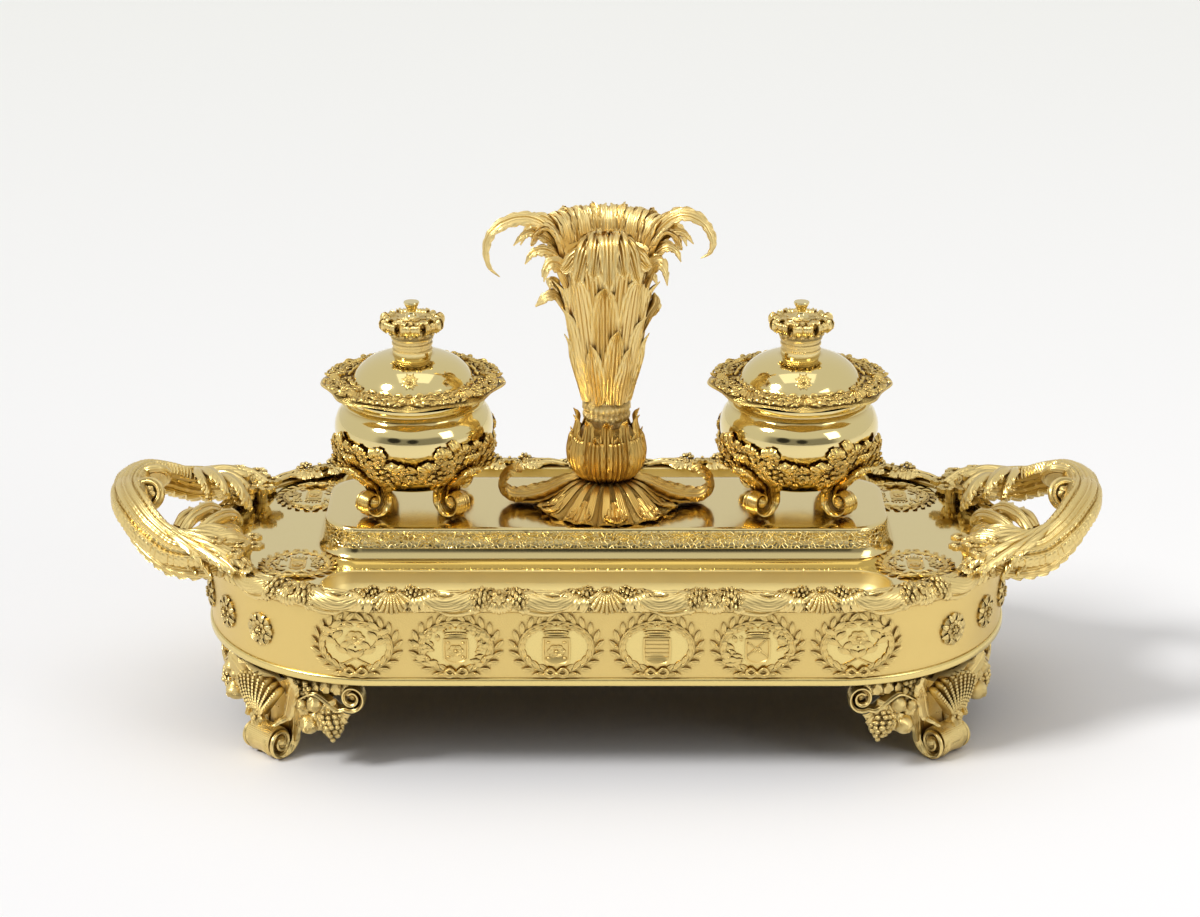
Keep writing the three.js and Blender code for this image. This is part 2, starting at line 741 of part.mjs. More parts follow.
// A domed lid with a lobed flange, a plug for the liner's mouth and a hollow underside.
function potLid() {
  const plug = linerRadius - linerWall - linerRelief;
  const hollow = plug - lidPlugWall;
  const hollowShares = [[0, 0.7], [0.5, 0.6], [1, 0.28]];
  // The flange's underside and edge, as shares of the radius and height, with lobes.
  const flangeShares = [[0.94, 0.18], [1, 0.26], [0.94, 0.36]];
  const domeShares = [[0.76, 0.36], [0.52, 0.64]];
  const profile = [
    ...hollowShares.map(([r, z]) => [r * hollow, z * lidHeight, 0]),
    [hollow, -lidPlugDepth, 0],
    [plug, -lidPlugDepth, 0],
    [plug, 0, 0],
    [linerFlangeRadius, 0, 0],
    ...flangeShares.map(([r, z]) => [r * lidRadius, z * lidHeight, lidLobe]),
    ...domeShares.map(([r, z]) => [r * lidRadius, z * lidHeight, 0]),
    [lidNeckRadius, lidShoulderShare * lidHeight, 0],
    [lidNeckRadius, lidHeight, 0],
    [0, lidHeight, 0],
  ];
  const radiusOf = ([r, , lobe], angle) => r + lobe * Math.cos(lidLobes * angle);
  const shell = lobed(profile, lidLobes * lobeSteps, radiusOf, ([, z]) => lidSeat + z);
  const boreDepth = knobStudLength - crownHeight + overrun;
  return cut(shell, rod(knobBore, lidTop - boreDepth, lidTop + overrun, roundSides));
}

// The crown-shaped finial: a waisted stem that opens into a lobed rim.
function crownFinial() {
  const shares = [[0.6, 0], [0.72, 0.1], [0.68, 0.3], [0.78, 0.5], [1, 0.86], [0.9, 1]];
  const rows = shares.map(([r, z]) => [r * crownRadius, lidTop + z * crownHeight]);
  const rimFrom = lidTop + crownHeight / 2;
  const radiusOf = ([r, z], angle) =>
    (z > rimFrom ? r + crownLobe * Math.cos(lidLobes * angle) : r);
  const body = lobed(rows, lidLobes * 2, radiusOf, ([, z]) => z);
  return cut(body, rod(knobBore, lidTop - overrun, lidTop + crownHeight + overrun, roundSides));
}

// The knob screws through the crown into the lid's neck.
function finialKnob() {
  const low = lidTop + crownHeight;
  const shares = [[1.2, 0], [1.1, 0.16], [0.6, 0.35], [0.6, 0.55], [0.95, 0.75], [0.85, 1]];
  const body = shares.map(([r, z]) => [r * knobRadius, low + z * knobHeight]);
  const stud = [[0, low - knobStudLength], [knobStudRadius, low - knobStudLength],
    [knobStudRadius, low]];
  return turned([...stud, ...body, [0, low + knobHeight]], roundSides);
}

// Pen vase, modelled round the Z axis

const calyxBottom = platformTop + vaseBaseHeight;
const vaseBottom = calyxBottom + calyxHeight;
const vaseMouth = vaseBottom + vaseHeight;
const socketFloor = vaseMouth - socketDepth;

// The fluted skirt, with a long leaf to each side that turns up at its tip.
function vaseBase() {
  const skirtShares = [[0.92, 0], [1, 0.2], [0.85, 0.22]];
  const stemShares = [[0.6, 0.34], [0.42, 0.62], [0.38, 1]];
  const edgeAt = (angle) => vaseBaseRadius
    + (vaseBaseTipReach - vaseBaseRadius) * Math.cos(angle) ** vaseTipSharpness
    - vaseSkirtScallop * (1 - Math.cos(vaseBaseScallops * angle));
  const rows = [
    ...skirtShares.map(([r, z]) => ({ r, z, lobed: true })),
    ...stemShares.map(([r, z]) => ({ r, z, lobed: false })),
  ];
  const radiusOf = ({ r, lobed: wavy }, angle) => r * (wavy ? edgeAt(angle) : vaseBaseRadius);
  const heightOf = ({ z }) => platformTop + z * vaseBaseHeight;
  const skirt = lobed(rows, vaseBaseScallops * 4, radiusOf, heightOf);
  const tipShares = [[0.7, 0.35], [0.86, 0.32], [0.94, 0.5], [0.88, 0.65]];
  const tipWidthShares = [1, 1, 0.8, 0.4];
  const tips = [-1, 1].map((side) => ribbon(
    tipShares.map(([x, z]) => [side * x * vaseBaseTipReach, 0, platformTop + z * vaseBaseHeight]),
    [0, 1, 0], tipWidthShares.map((share) => share * vaseTipHalfWidth),
    [leafHalfThickness, leafHalfThickness], 4, 5));
  const bore = rod(studBore, platformTop - overrun, calyxBottom + overrun, roundSides);
  return cut(join(skirt, tips), bore);
}

// The bulb of leaves that the vase grows from.
function calyx() {
  const bulbShares = [[0.55, 0], [0.8, 0.08], [1, 0.34], [0.98, 0.5], [0.86, 0.7], [0.78, 0.86]];
  const leafShares = [[0.8, 0.55], [0.8, 0.8], [0.78, 0.95], [0.86, 1]];
  const widthShares = [1, 0.95, 0.7, 0.3];
  const rows = bulbShares.map(([r, z]) => [r * calyxRadius, calyxBottom + z * calyxHeight]);
  const radiusOf = ([r], angle) => r + calyxFlute * Math.cos(calyxLeaves * angle);
  const pieces = [
    lobed(rows, calyxLeaves * 2, radiusOf, ([, z]) => z),
    rod(calyxNeckRadius, calyxBottom, vaseBottom, calyxLeaves * 2),
  ];
  const widths = widthShares.map((share) => share * calyxLeafHalfWidth);
  for (let i = 0; i < calyxLeaves; i++) {
    const angle = (i / calyxLeaves) * fullTurn;
    const [c, s] = [Math.cos(angle), Math.sin(angle)];
    const path = leafShares.map(([r, z]) => [
      r * calyxRadius * c, r * calyxRadius * s, calyxBottom + z * (calyxHeight + calyxLeafRise)]);
    pieces.push(ribbon(path, [-s, c, 0], widths, [leafHalfThickness, leafHalfThickness], 3, 4));
  }
  const room = rod(vaseFootRadius + clearance, vaseBottom, vaseMouth, vaseSides);
  const bore = rod(studBore, calyxBottom - overrun, vaseBottom + overrun, roundSides);
  return cut(join(pieces), bore, room);
}

// A frond that rises from the vase's wall and curls over, in the direction of `degrees`.
function frond(degrees, reach, rise, halfWidth, pathShares) {
  const angle = THREE.MathUtils.degToRad(degrees);
  const [c, s] = [Math.cos(angle), Math.sin(angle)];
  const root = vaseMouthRadius - vaseWall / 2;
  const path = pathShares.map(([r, z]) => {
    const out = root + r * (reach - root);
    return [out * c, out * s, vaseMouth + z * rise];
  });
  const widthShares = [0.9, 1, 1, 0.9, 0.7, 0.5, 0.25];
  const widths = widthShares.map((share) => share * halfWidth);
  return ribbon(path, [-s, c, 0], widths, [leafHalfThickness, leafHalfThickness], 7, 5);
}

// A trumpet of leaves, open for pens, on a long stud that holds the calyx, base and platform.
function penVase() {
  const wallShares = [[0.53, 0.08], [0.53, 0.16], [0.66, 0.34], [0.84, 0.62], [0.97, 0.84], [1, 1]];
  const outer = [[vaseFootRadius, vaseBottom],
    ...wallShares.map(([r, z]) => [r * vaseMouthRadius, vaseBottom + z * vaseHeight])];
  const inner = outer.filter(([, z]) => z > socketFloor + vaseWall)
    .map(([r, z]) => [r - vaseWall, z]).reverse();
  const floorRadius = socketFloorShare * inner[inner.length - 1][0];
  const studLow = deckUnder - nutHeight - studOverNut;
  const body = turned([[0, studLow], [studRadius, studLow], [studRadius, vaseBottom], ...outer,
    [0, vaseMouth]], vaseSides);
  const curlShares = [[0, -0.6], [0.03, 0.1], [0.25, 0.78], [0.6, 0.97], [0.93, 0.66], [1, 0.05],
    [0.9, -0.7]];
  const crestShares = [[0, -0.5], [0.05, 0.4], [0.3, 0.9], [0.65, 1], [0.92, 0.8], [1, 0.5]];
  const droopShares = [[0, -0.8], [0.1, -0.1], [0.45, 0.2], [0.8, 0.05], [1, -0.35]];
  const fronds = [
    frond(180, curlReachLeft, plumeRise, frondHalfWidth, curlShares),
    frond(0, curlReachRight, plumeRise, frondHalfWidth, curlShares),
    frond(90, crestReach, crestRise, crestHalfWidth, crestShares),
    frond(-90, crestReach, droopRise, frondHalfWidth, droopShares),
    ...[45, 135].map((turn) => frond(turn, crestReach, crestRise, frondHalfWidth, crestShares)),
    ...[-45, -135].map((turn) => frond(turn, crestReach, droopRise, frondHalfWidth, droopShares)),
  ];
  const over = vaseMouth + plumeRise * 2;
  const socket = turned([[0, over], [inner[0][0], over], ...inner, [floorRadius, socketFloor],
    [0, socketFloor]], vaseSides);
  return cut(join(body, fronds), socket);
}

// Assembly

const finishes = {
  burnished: { color: 0xd9b866, roughness: 0.12, metalness: 1 },
  matted: { color: 0xc9a860, roughness: 0.45, metalness: 1 },
  chased: { color: 0xb8924a, roughness: 0.3, metalness: 1 },
  glass: { color: 0xdfe8e4, roughness: 0.05, metalness: 0 },
};

const inkstand = new THREE.Group();

function place(name, made, finish, { x = 0, y = 0, flipX = 1, flipY = 1 } = {}) {
  const mesh = new THREE.Mesh(geometryOf(made), new THREE.MeshStandardMaterial(finishes[finish]));
  mesh.name = name;
  mesh.position.set(x, y, 0);
  mesh.scale.set(flipX, flipY, 1);
  inkstand.add(mesh);
}

const corners = [
  ['front_left', -1, -1], ['front_right', 1, -1], ['back_left', -1, 1], ['back_right', 1, 1]];
const footStuds = corners.map(([, sx, sy]) => footStud(sx, sy));
const handleStuds = corners.map(([, sx, sy]) => [sx * handleRootX, sy * handleRootY]);

place('base_plate', basePlate(footStuds), 'burnished');
place('side_band', sideBand(), 'matted');
place('deck_plate', deckPlate([...handleStuds, [0, 0]]), 'burnished');
place('pen_trough_front', troughPan(), 'burnished', { y: -troughCentre });
place('pen_trough_back', troughPan(), 'burnished', { y: troughCentre });
place('platform', platform(), 'burnished');
place('leaf_border', leafBorder(), 'chased');

const footSolid = foot();
corners.forEach(([corner, sx, sy], i) => {
  place('foot_' + corner, footSolid, 'chased', { flipX: sx, flipY: sy });
  const [fx, fy] = footStuds[i];
  place('foot_nut_' + corner, nut(basePlateTop), 'matted', { x: fx, y: fy });
  const [hx, hy] = handleStuds[i];
  place('handle_nut_' + corner, nut(deckUnder - nutHeight), 'matted', { x: hx, y: hy });
  place('deck_medallion_' + corner, deckMedallion(), 'matted',
    { x: sx * deckMedallionX, y: sy * deckMedallionY });
});

const handleSolid = handle();
place('handle_left', handleSolid, 'chased', { flipX: -1 });
place('handle_right', handleSolid, 'chased');

for (let i = 0; i < bandMedallionsPerSide; i++) {
  const distance = (i - (bandMedallionsPerSide - 1) / 2) * bandMedallionPitch;
  const made = bandMedallion(distance);
  place('band_medallion_front_' + (i + 1), made, 'matted');
  place('band_medallion_back_' + (i + 1), made, 'matted', { flipY: -1 });
}

for (const [side, x] of [['left', -potSpacing], ['right', potSpacing]]) {
  place('pot_stand_' + side, potStand(), 'chased', { x });
  place('pot_bowl_' + side, potBowl(), 'burnished', { x });
  place('pot_liner_' + side, potLiner(), 'glass', { x });
  place('pot_lid_' + side, potLid(), 'burnished', { x });
  place('crown_finial_' + side, crownFinial(), 'chased', { x });
  place('finial_knob_' + side, finialKnob(), 'burnished', { x });
}

place('vase_base', vaseBase(), 'chased');
place('vase_calyx', calyx(), 'chased');
place('pen_vase', penVase(), 'chased');
place('vase_nut', nut(deckUnder - nutHeight), 'matted');

export default inkstand;
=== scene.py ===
# %% [markdown]
# # A silver-gilt desk inkstand
# The object is a tray on four scroll feet, with two leaf handles, two lidded ink pots and a
# pen vase made of leaves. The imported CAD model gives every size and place, so the first cell
# loads it and keeps its box. Everything after it dresses those solids in cast and chased work.

# %% Load the frame
import math

import bmesh
import bpy
import numpy as np
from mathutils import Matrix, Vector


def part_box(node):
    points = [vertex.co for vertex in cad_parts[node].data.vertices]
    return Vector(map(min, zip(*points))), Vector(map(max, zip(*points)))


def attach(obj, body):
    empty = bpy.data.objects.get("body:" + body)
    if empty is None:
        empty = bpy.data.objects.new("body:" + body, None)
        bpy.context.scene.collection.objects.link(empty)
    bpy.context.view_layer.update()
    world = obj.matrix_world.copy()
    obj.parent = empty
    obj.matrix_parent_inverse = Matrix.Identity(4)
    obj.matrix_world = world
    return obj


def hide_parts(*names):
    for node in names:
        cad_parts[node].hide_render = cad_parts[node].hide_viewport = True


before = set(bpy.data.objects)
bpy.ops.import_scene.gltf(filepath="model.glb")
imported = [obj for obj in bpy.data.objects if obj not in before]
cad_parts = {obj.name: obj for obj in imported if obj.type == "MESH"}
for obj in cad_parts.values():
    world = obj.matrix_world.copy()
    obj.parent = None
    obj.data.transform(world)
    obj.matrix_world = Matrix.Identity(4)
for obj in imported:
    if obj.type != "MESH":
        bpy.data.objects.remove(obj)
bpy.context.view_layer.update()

print("nodes in the frame:", len(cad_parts))

# %% [markdown]
# ## Units and measuring
# Goldsmiths' work is thought of in millimetres, so all shapes here are made in millimetres and
# turned to metres only when a mesh is made. `low` and `high` read a CAD node's box, so that a
# dressed piece starts from the solid that it covers.

# %% Units
MM = 0.001
TURN = 2 * math.pi


def low(node):
    return np.array(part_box(node)[0]) / MM


def high(node):
    return np.array(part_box(node)[1]) / MM


HALF_LENGTH, HALF_DEPTH = high("base_plate")[:2]
BASE_LOW, BASE_TOP = low("base_plate")[2], high("base_plate")[2]
DECK_UNDER, DECK_TOP = low("deck_plate")[2], high("deck_plate")[2]
PLATFORM_TOP = high("platform")[2]
print("tray (mm):", 2 * HALF_LENGTH, "x", 2 * HALF_DEPTH, "deck at", DECK_TOP)

# %% [markdown]
# ## Metal
# The stand is silver gilded with gold. Three finishes show: burnished, rubbed with a polished
# stone until it mirrors; matted, struck all over with a blunt punch so that it glows without
# reflections; and chased, cast leaf work that is tooled with fine lines along each leaf. Each
# finish is painted darker in its hollows as painted shade. All are one gold, so only roughness, bump and
# tint differ.

# %% Colours and nodes
def linear(hex_code):
    """An sRGB hex colour as linear RGBA."""
    parts = [int(hex_code[i:i + 2], 16) / 255 for i in (1, 3, 5)]
    return [c / 12.92 if c <= 0.04045 else ((c + 0.055) / 1.055) ** 2.4 for c in parts] + [1.0]


def add(tree, kind, settings=None, **links):
    """Adds a node. `settings` sets its properties or sockets, `links` feeds its sockets."""
    made = tree.nodes.new(kind)
    for key, value in (settings or {}).items():
        if hasattr(made, key):
            setattr(made, key, value)
        else:
            made.inputs[key].default_value = value
    for key, source in links.items():
        socket = int(key[1:]) if key[1:].isdigit() else key.replace("_", " ")
        tree.links.new(source, made.inputs[socket])
    return made


def product(tree, a, b):
    return add(tree, "ShaderNodeMath", {"operation": "MULTIPLY"}, _0=a, _1=b).outputs["Value"]


def blend(tree, factor, first, second):
    """A mix of two hex colours."""
    mix = add(tree, "ShaderNodeMix", {"data_type": "RGBA"}, Factor=factor)
    mix.inputs[6].default_value = linear(first)
    mix.inputs[7].default_value = linear(second)
    return mix.outputs[2]


def new_material(name):
    material = bpy.data.materials.new(name)
    material.use_nodes = True
    tree = material.node_tree
    shader = tree.nodes["Principled BSDF"]
    return material, tree, shader


# %% [markdown]
# A gilt finish mixes three things. Ambient occlusion finds the hollows, and there the colour
# is mixed towards a darker brown as painted shade. A noise of a few millimetres moves the
# roughness, as hand burnishing does. The bump comes from the tool that made the finish: a
# ripple, a punched grain, an engraved net of lines between two heights, or lines along a leaf.

# %% Gilt finishes
HOLLOW_SHADE_REACH = 2.5
BURNISH_RIPPLE = 9.0
ENGRAVED_LOW, ENGRAVED_HIGH, ENGRAVED_FADE = 86.5, 94.0, 0.3
ENGRAVED_CELL, ENGRAVED_LINE = 1.7, 0.12
PUNCH_PITCH = 0.55
CHASING_PITCH = 0.8
WAVE_LENGTHS = 3.2


def engraving(tree, place):
    """A net of fine lines that shows only on the cove of the platform."""
    height = add(tree, "ShaderNodeSeparateXYZ", Vector=place).outputs["Z"]
    cells = add(tree, "ShaderNodeTexVoronoi", {"feature": "DISTANCE_TO_EDGE",
                                               "Scale": 1 / (ENGRAVED_CELL * MM)}, Vector=place)
    lines = add(tree, "ShaderNodeMapRange", {"From Max": ENGRAVED_LINE},
                Value=cells.outputs["Distance"])
    bounds = [add(tree, "ShaderNodeMapRange", {"From Min": start * MM, "From Max": end * MM},
                  Value=height).outputs["Result"]
              for start, end in ((ENGRAVED_LOW, ENGRAVED_LOW + ENGRAVED_FADE),
                                 (ENGRAVED_HIGH + ENGRAVED_FADE, ENGRAVED_HIGH))]
    return product(tree, lines.outputs["Result"], product(tree, *bounds))


def gilt(name, colour, hollow_shade_colour, roughness, spread, tool, depth):
    """A gilt metal with painted shade in its hollows. `tool` is ripple, punch, engraving or lines; `depth`
    is its bump in mm.
    """
    material, tree, shader = new_material(name)
    place = add(tree, "ShaderNodeTexCoord").outputs["Object"]
    ripple = {"Scale": 1 / (BURNISH_RIPPLE * MM)}
    wear = add(tree, "ShaderNodeTexNoise", ripple | {"Detail": 3.0}, Vector=place)
    rough = add(tree, "ShaderNodeMapRange", {"To Min": roughness - spread,
                                             "To Max": roughness + spread}, Value=wear.outputs["Fac"])
    # Painted shade: the hollow colour is mixed in where ambient occlusion finds a recess.
    shade = add(tree, "ShaderNodeAmbientOcclusion", {"samples": 6, "Distance": HOLLOW_SHADE_REACH * MM})
    hollow_shade_amount = add(tree, "ShaderNodeMapRange", {"From Min": 0.25, "From Max": 0.85},
                 Value=shade.outputs["AO"])
    tint = blend(tree, hollow_shade_amount.outputs["Result"], hollow_shade_colour, colour)
    if tool == "ripple":
        relief = add(tree, "ShaderNodeTexNoise", ripple | {"Detail": 1.0}, Vector=place).outputs["Fac"]
    elif tool == "punch":
        relief = add(tree, "ShaderNodeTexVoronoi", {"Scale": 1 / (PUNCH_PITCH * MM)},
                     Vector=place).outputs["Distance"]
    elif tool == "engraving":
        relief = engraving(tree, place)
    else:
        flow = add(tree, "ShaderNodeAttribute", {"attribute_name": "flow"}).outputs["Vector"]
        relief = add(tree, "ShaderNodeTexWave", {
            "bands_direction": "Y", "Scale": 1 / CHASING_PITCH / WAVE_LENGTHS, "Distortion": 1.5,
            "Detail": 2.0, "Detail Scale": 0.6}, Vector=flow).outputs["Fac"]
    bump = add(tree, "ShaderNodeBump", {"Strength": 1.0, "Distance": depth * MM}, Height=relief)
    tree.links.new(tint, shader.inputs["Base Color"])
    tree.links.new(rough.outputs["Result"], shader.inputs["Roughness"])
    tree.links.new(bump.outputs["Normal"], shader.inputs["Normal"])
    shader.inputs["Metallic"].default_value = 1.0
    return material


# In each gilt the second colour is the painted shade of its hollows.
BURNISHED = gilt("burnished gilt", "#E8D597", "#B8944A", 0.08, 0.025, "ripple", 0.04)
SATIN = gilt("satin gilt", "#EAD389", "#A88A48", 0.24, 0.04, "ripple", 0.03)
ENGRAVED = gilt("engraved gilt", "#E6D294", "#B8944A", 0.14, 0.03, "engraving", 0.11)
# This dark underside colour is painted shade for the tray's underside.
UNDERSIDE_SHADE = gilt("dark underside as painted shade", "#5A4A2C", "#2A2214", 0.5, 0.06, "punch", 0.06)
MATTED = gilt("matted gilt", "#E7CB80", "#AD8C48", 0.4, 0.05, "punch", 0.06)
LOW_CHASED = gilt("low chased gilt", "#E6CA80", "#B4944F", 0.36, 0.05, "lines", 0.05)
CHASED = gilt("chased gilt", "#EDD38C", "#967840", 0.29, 0.06, "lines", 0.1)
LEAF_GILT = gilt("matt leaf gilt", "#F8DE98", "#A88446", 0.38, 0.05, "lines", 0.14)
EARTH_GILT = gilt("brown leaf gilt", "#DDB866", "#775626", 0.34, 0.05, "lines", 0.12)
BRUSHED = gilt("brushed gilt", "#ECD691", "#B8974F", 0.46, 0.04, "ripple", 0.03)
AMBER_GILT = gilt("deep chased gilt", "#E8C978", "#8A6830", 0.22, 0.05, "lines", 0.1)

# %% [markdown]
# The ink glasses are clear moulded soda glass. Its index is 1.5, and a faint green shows only
# where the wall is thick.

# %% Glass
INK_GLASS, glass_tree, glass_shader = new_material("moulded soda glass")
glass_shader.inputs["Base Color"].default_value = linear("#E9F2EC")
glass_shader.inputs["Transmission Weight"].default_value = 1.0
glass_shader.inputs["IOR"].default_value = 1.5
glass_seed = add(glass_tree, "ShaderNodeTexNoise", {"Scale": 1 / (6 * MM)})
glass_rough = add(glass_tree, "ShaderNodeMapRange", {"To Min": 0.02, "To Max": 0.08},
                  Value=glass_seed.outputs["Fac"])
glass_tree.links.new(glass_rough.outputs["Result"], glass_shader.inputs["Roughness"])
SLOTS = {"burnished_gilt": (BURNISHED, SATIN, ENGRAVED, BRUSHED), "ink_glass": (INK_GLASS,),
         "matted_gilt": (MATTED, LOW_CHASED, LEAF_GILT, EARTH_GILT),
         "chased_gilt": (CHASED, AMBER_GILT)}
SLOT_OF = {finish.name: slot for slot, finishes in SLOTS.items() for finish in finishes}
print("finishes:", [material.name for material in bpy.data.materials])

# %% [markdown]
# ## Shapes
# A shape here is a triple: an array of points, a list of faces, and for each point how far it
# lies along and across its leaf, which the chasing lines follow. Ornament is built flat or on
# its own spine and then carried to its place by a plain function, so one leaf, shell or wreath
# serves the whole stand.

# %% Shape basics
def shape(points, faces, flow=None):
    points = np.asarray(points, float).reshape(-1, 3)
    flow = np.zeros((len(points), 2)) if flow is None else np.asarray(flow, float).reshape(-1, 2)
    return points, faces, flow


def grid(points, flow=None, ring=False):
    """A closed skin over rows of points, where each row is a closed loop. The first and last
    rows get a flat end each, or are joined to one another where `ring` is set."""
    rows, cols = points.shape[:2]
    index = np.arange(rows * cols).reshape(rows, cols)
    under = np.vstack([index, index[:1]]) if ring else index
    ahead = np.roll(under, -1, axis=1)
    quads = np.stack([under[:-1], ahead[:-1], ahead[1:], under[1:]], -1)
    faces = quads.reshape(-1, 4).tolist()
    if not ring:
        faces += [index[0][::-1].tolist(), index[-1].tolist()]
    return shape(points, faces, flow)


def merged(*shapes):
    """One shape of several, or of lists of them."""
    flat = []
    for item in shapes:
        flat += item if isinstance(item, list) else [item]
    points, faces, flow, count = [], [], [], 0
    for p, f, w in flat:
        points.append(p)
        flow.append(w)
        faces += [[i + count for i in face] for face in f]
        count += len(p)
    return np.concatenate(points), faces, np.concatenate(flow)


def scaled(made, factors):
    return made[0] * np.asarray(factors, float), made[1], made[2]


def spun(made, angle, axis=2):
    """Turns a shape round X, Y or Z through the origin."""
    c, s = math.cos(angle), math.sin(angle)
    i, j = [(1, 2), (2, 0), (0, 1)][axis]
    points = made[0].copy()
    points[:, i] = made[0][:, i] * c - made[0][:, j] * s
    points[:, j] = made[0][:, i] * s + made[0][:, j] * c
    return points, made[1], made[2]


def moved(made, offset, turn=0.0):
    """Turns a shape round Z where `turn` is given, and then moves it."""
    made = spun(made, turn) if turn else made
    return made[0] + np.asarray(offset, float), made[1], made[2]


def flipped(made, axis):
    """The mirror image in the plane square to X, Y or Z."""
    points = made[0].copy()
    points[:, axis] *= -1
    return points, [face[::-1] for face in made[1]], made[2]


def carried(made, place):
    """Moves each point by place(points)."""
    return place(made[0]), made[1], made[2]


def ray(angle):
    """The level direction at an angle from +X."""
    return np.array([math.cos(angle), math.sin(angle), 0])


# %% [markdown]
# `make` turns a shape into a Blender mesh. The normals are worked out once, so that every closed
# leaf faces outwards, and the smooth angle keeps the sharp arrises that chasing leaves. Most
# pieces ride on the tray.

# %% Making objects
SMOOTH_ANGLE = math.radians(50)


def make(name, made, finish, nodes=(), body="tray", slot=None):
    mesh = bpy.data.meshes.new(name)
    mesh.from_pydata((made[0] * MM).tolist(), [], made[1])
    flow = mesh.attributes.new("flow", "FLOAT_VECTOR", "POINT")
    values = np.zeros((len(made[0]), 3), np.float32)
    values[:, :2] = made[2]
    flow.data.foreach_set("vector", values.ravel())
    mesh.materials.append(finish)
    mesh.shade_smooth()
    mesh.validate()
    piece = bpy.data.objects.new(name, mesh)
    bpy.context.scene.collection.objects.link(piece)
    with bpy.context.temp_override(active_object=piece, object=piece, selected_objects=[piece]):
        bpy.context.view_layer.objects.active = piece
        piece.select_set(True)
        bpy.ops.object.mode_set(mode="EDIT")
        bpy.ops.mesh.select_all(action="SELECT")
        bpy.ops.mesh.normals_make_consistent(inside=False)
        bpy.ops.object.mode_set(mode="OBJECT")
        piece.select_set(False)
    mesh.set_sharp_from_angle(angle=SMOOTH_ANGLE)
    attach(piece, body)
    slot or SLOT_OF[finish.name]
    if nodes:
        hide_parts(*nodes)
    print(f"{name}: {len(mesh.polygons)} faces")
    return piece


# %% [markdown]
# ## Curves, bars and turned work
# A spine is a list of a few points that a Catmull-Rom curve joins smoothly, so the given
# points stay few. `bar` sweeps a round section along it, and `lathe` turns a profile.

# %% Curves
def smooth(points, steps):
    """A Catmull-Rom curve through the points, as `steps` + 1 samples."""
    p = np.asarray(points, float)
    p = np.vstack([2 * p[0] - p[1], p, 2 * p[-1] - p[-2]])
    at = np.linspace(0, len(p) - 3 - 1e-9, steps + 1)
    i = at.astype(int)
    t = (at - i)[:, None]
    a, b, c, d = p[i], p[i + 1], p[i + 2], p[i + 3]
    return 0.5 * (2 * b + (c - a) * t + (2 * a - 5 * b + 4 * c - d) * t ** 2
                  + (3 * b - a - 3 * c + d) * t ** 3)


def shares(values, count):
    """A smooth run of `count` values through a few shares."""
    values = np.asarray(values, float)
    return smooth(np.stack([values] * 3, 1), count - 1)[:, 0]


def unit(v):
    return v / np.maximum(np.linalg.norm(v, axis=-1, keepdims=True), 1e-9)


def axes_along(path, side):
    """Tangent, side and normal at each point, with the side kept near a given direction."""
    tangent = unit(np.gradient(path, axis=0))
    side = np.broadcast_to(np.asarray(side, float), path.shape)
    normal = unit(np.cross(side, tangent))
    return tangent, np.cross(tangent, normal), normal


def run_along(path):
    return np.cumsum(np.r_[0, np.linalg.norm(np.diff(path, axis=0), axis=1)])


def bar(spine, radii, steps=16, sides=8):
    """A round bar along a spine, which may not run straight up."""
    path = smooth(spine, steps)
    _, across, normal = axes_along(path, (0, 0, 1))
    r = shares(radii, steps + 1)[:, None, None]
    angle = np.arange(sides) / sides * TURN
    ring = (across[:, None] * np.cos(angle)[None, :, None]
            + normal[:, None] * np.sin(angle)[None, :, None])
    flow = np.stack(np.broadcast_arrays(run_along(path)[:, None], angle[None] * r[:, :, 0]), -1)
    return grid(path[:, None] + ring * r, flow)


def hoop(rx, ry, radius, sides, z=0.0, middle=0.0, corners=32):
    """A closed oval bar that lies flat round [0, middle]."""
    angles = np.linspace(0, TURN, corners + 1)
    spine = [[rx * math.cos(a), middle + ry * math.sin(a), z] for a in angles]
    return bar(spine, [radius, radius], steps=2 * corners, sides=sides)


def lathe(profile, sides=96, radius_at=None, height_at=None, ring=False):
    """Turns a profile of [radius, height] round Z. Two functions of profile row and angle
    may make it wavy."""
    profile = np.asarray(profile, float)
    angle = np.arange(sides) / sides * TURN
    r = profile[:, :1] * np.ones(sides)
    z = profile[:, 1:2] * np.ones(sides)
    if radius_at is not None:
        r = r + radius_at(profile, angle)
    if height_at is not None:
        z = z + height_at(profile, angle)
    points = np.stack([r * np.cos(angle), r * np.sin(angle), z], -1)
    return grid(points, np.stack([z, r * angle], -1), ring)


POLE_GAP = 0.12


def ball(radius, centre=(0, 0, 0), sides=10, rows=7, stretch=1.0):
    at = np.linspace(POLE_GAP, math.pi - POLE_GAP, rows)
    profile = np.stack([radius * np.sin(at), -radius * stretch * np.cos(at)], 1)
    return moved(lathe(profile, sides), centre)


# %% [markdown]
# ## The leaf
# Almost every ornament here is acanthus, vine or feather, and all of them are one leaf: a thin
# sheet on a spine, corrugated along its length, cupped across and cut into teeth that lean
# towards the tip. Most leaves lie in an upright plane, and `ray_leaf` makes those. `acanthus`
# sets pairs of leaves along a stem, so that the fingers overlap as they do in cast work.

# %% Leaves
BLADE_SHARES = [0.45, 0.8, 1.0, 0.95, 0.7, 0.12]
FINGER_SHARES = [0.5, 0.85, 1.0, 0.85, 0.1]
BUD_SHARES = [0.4, 1, 0.8, 0.1]


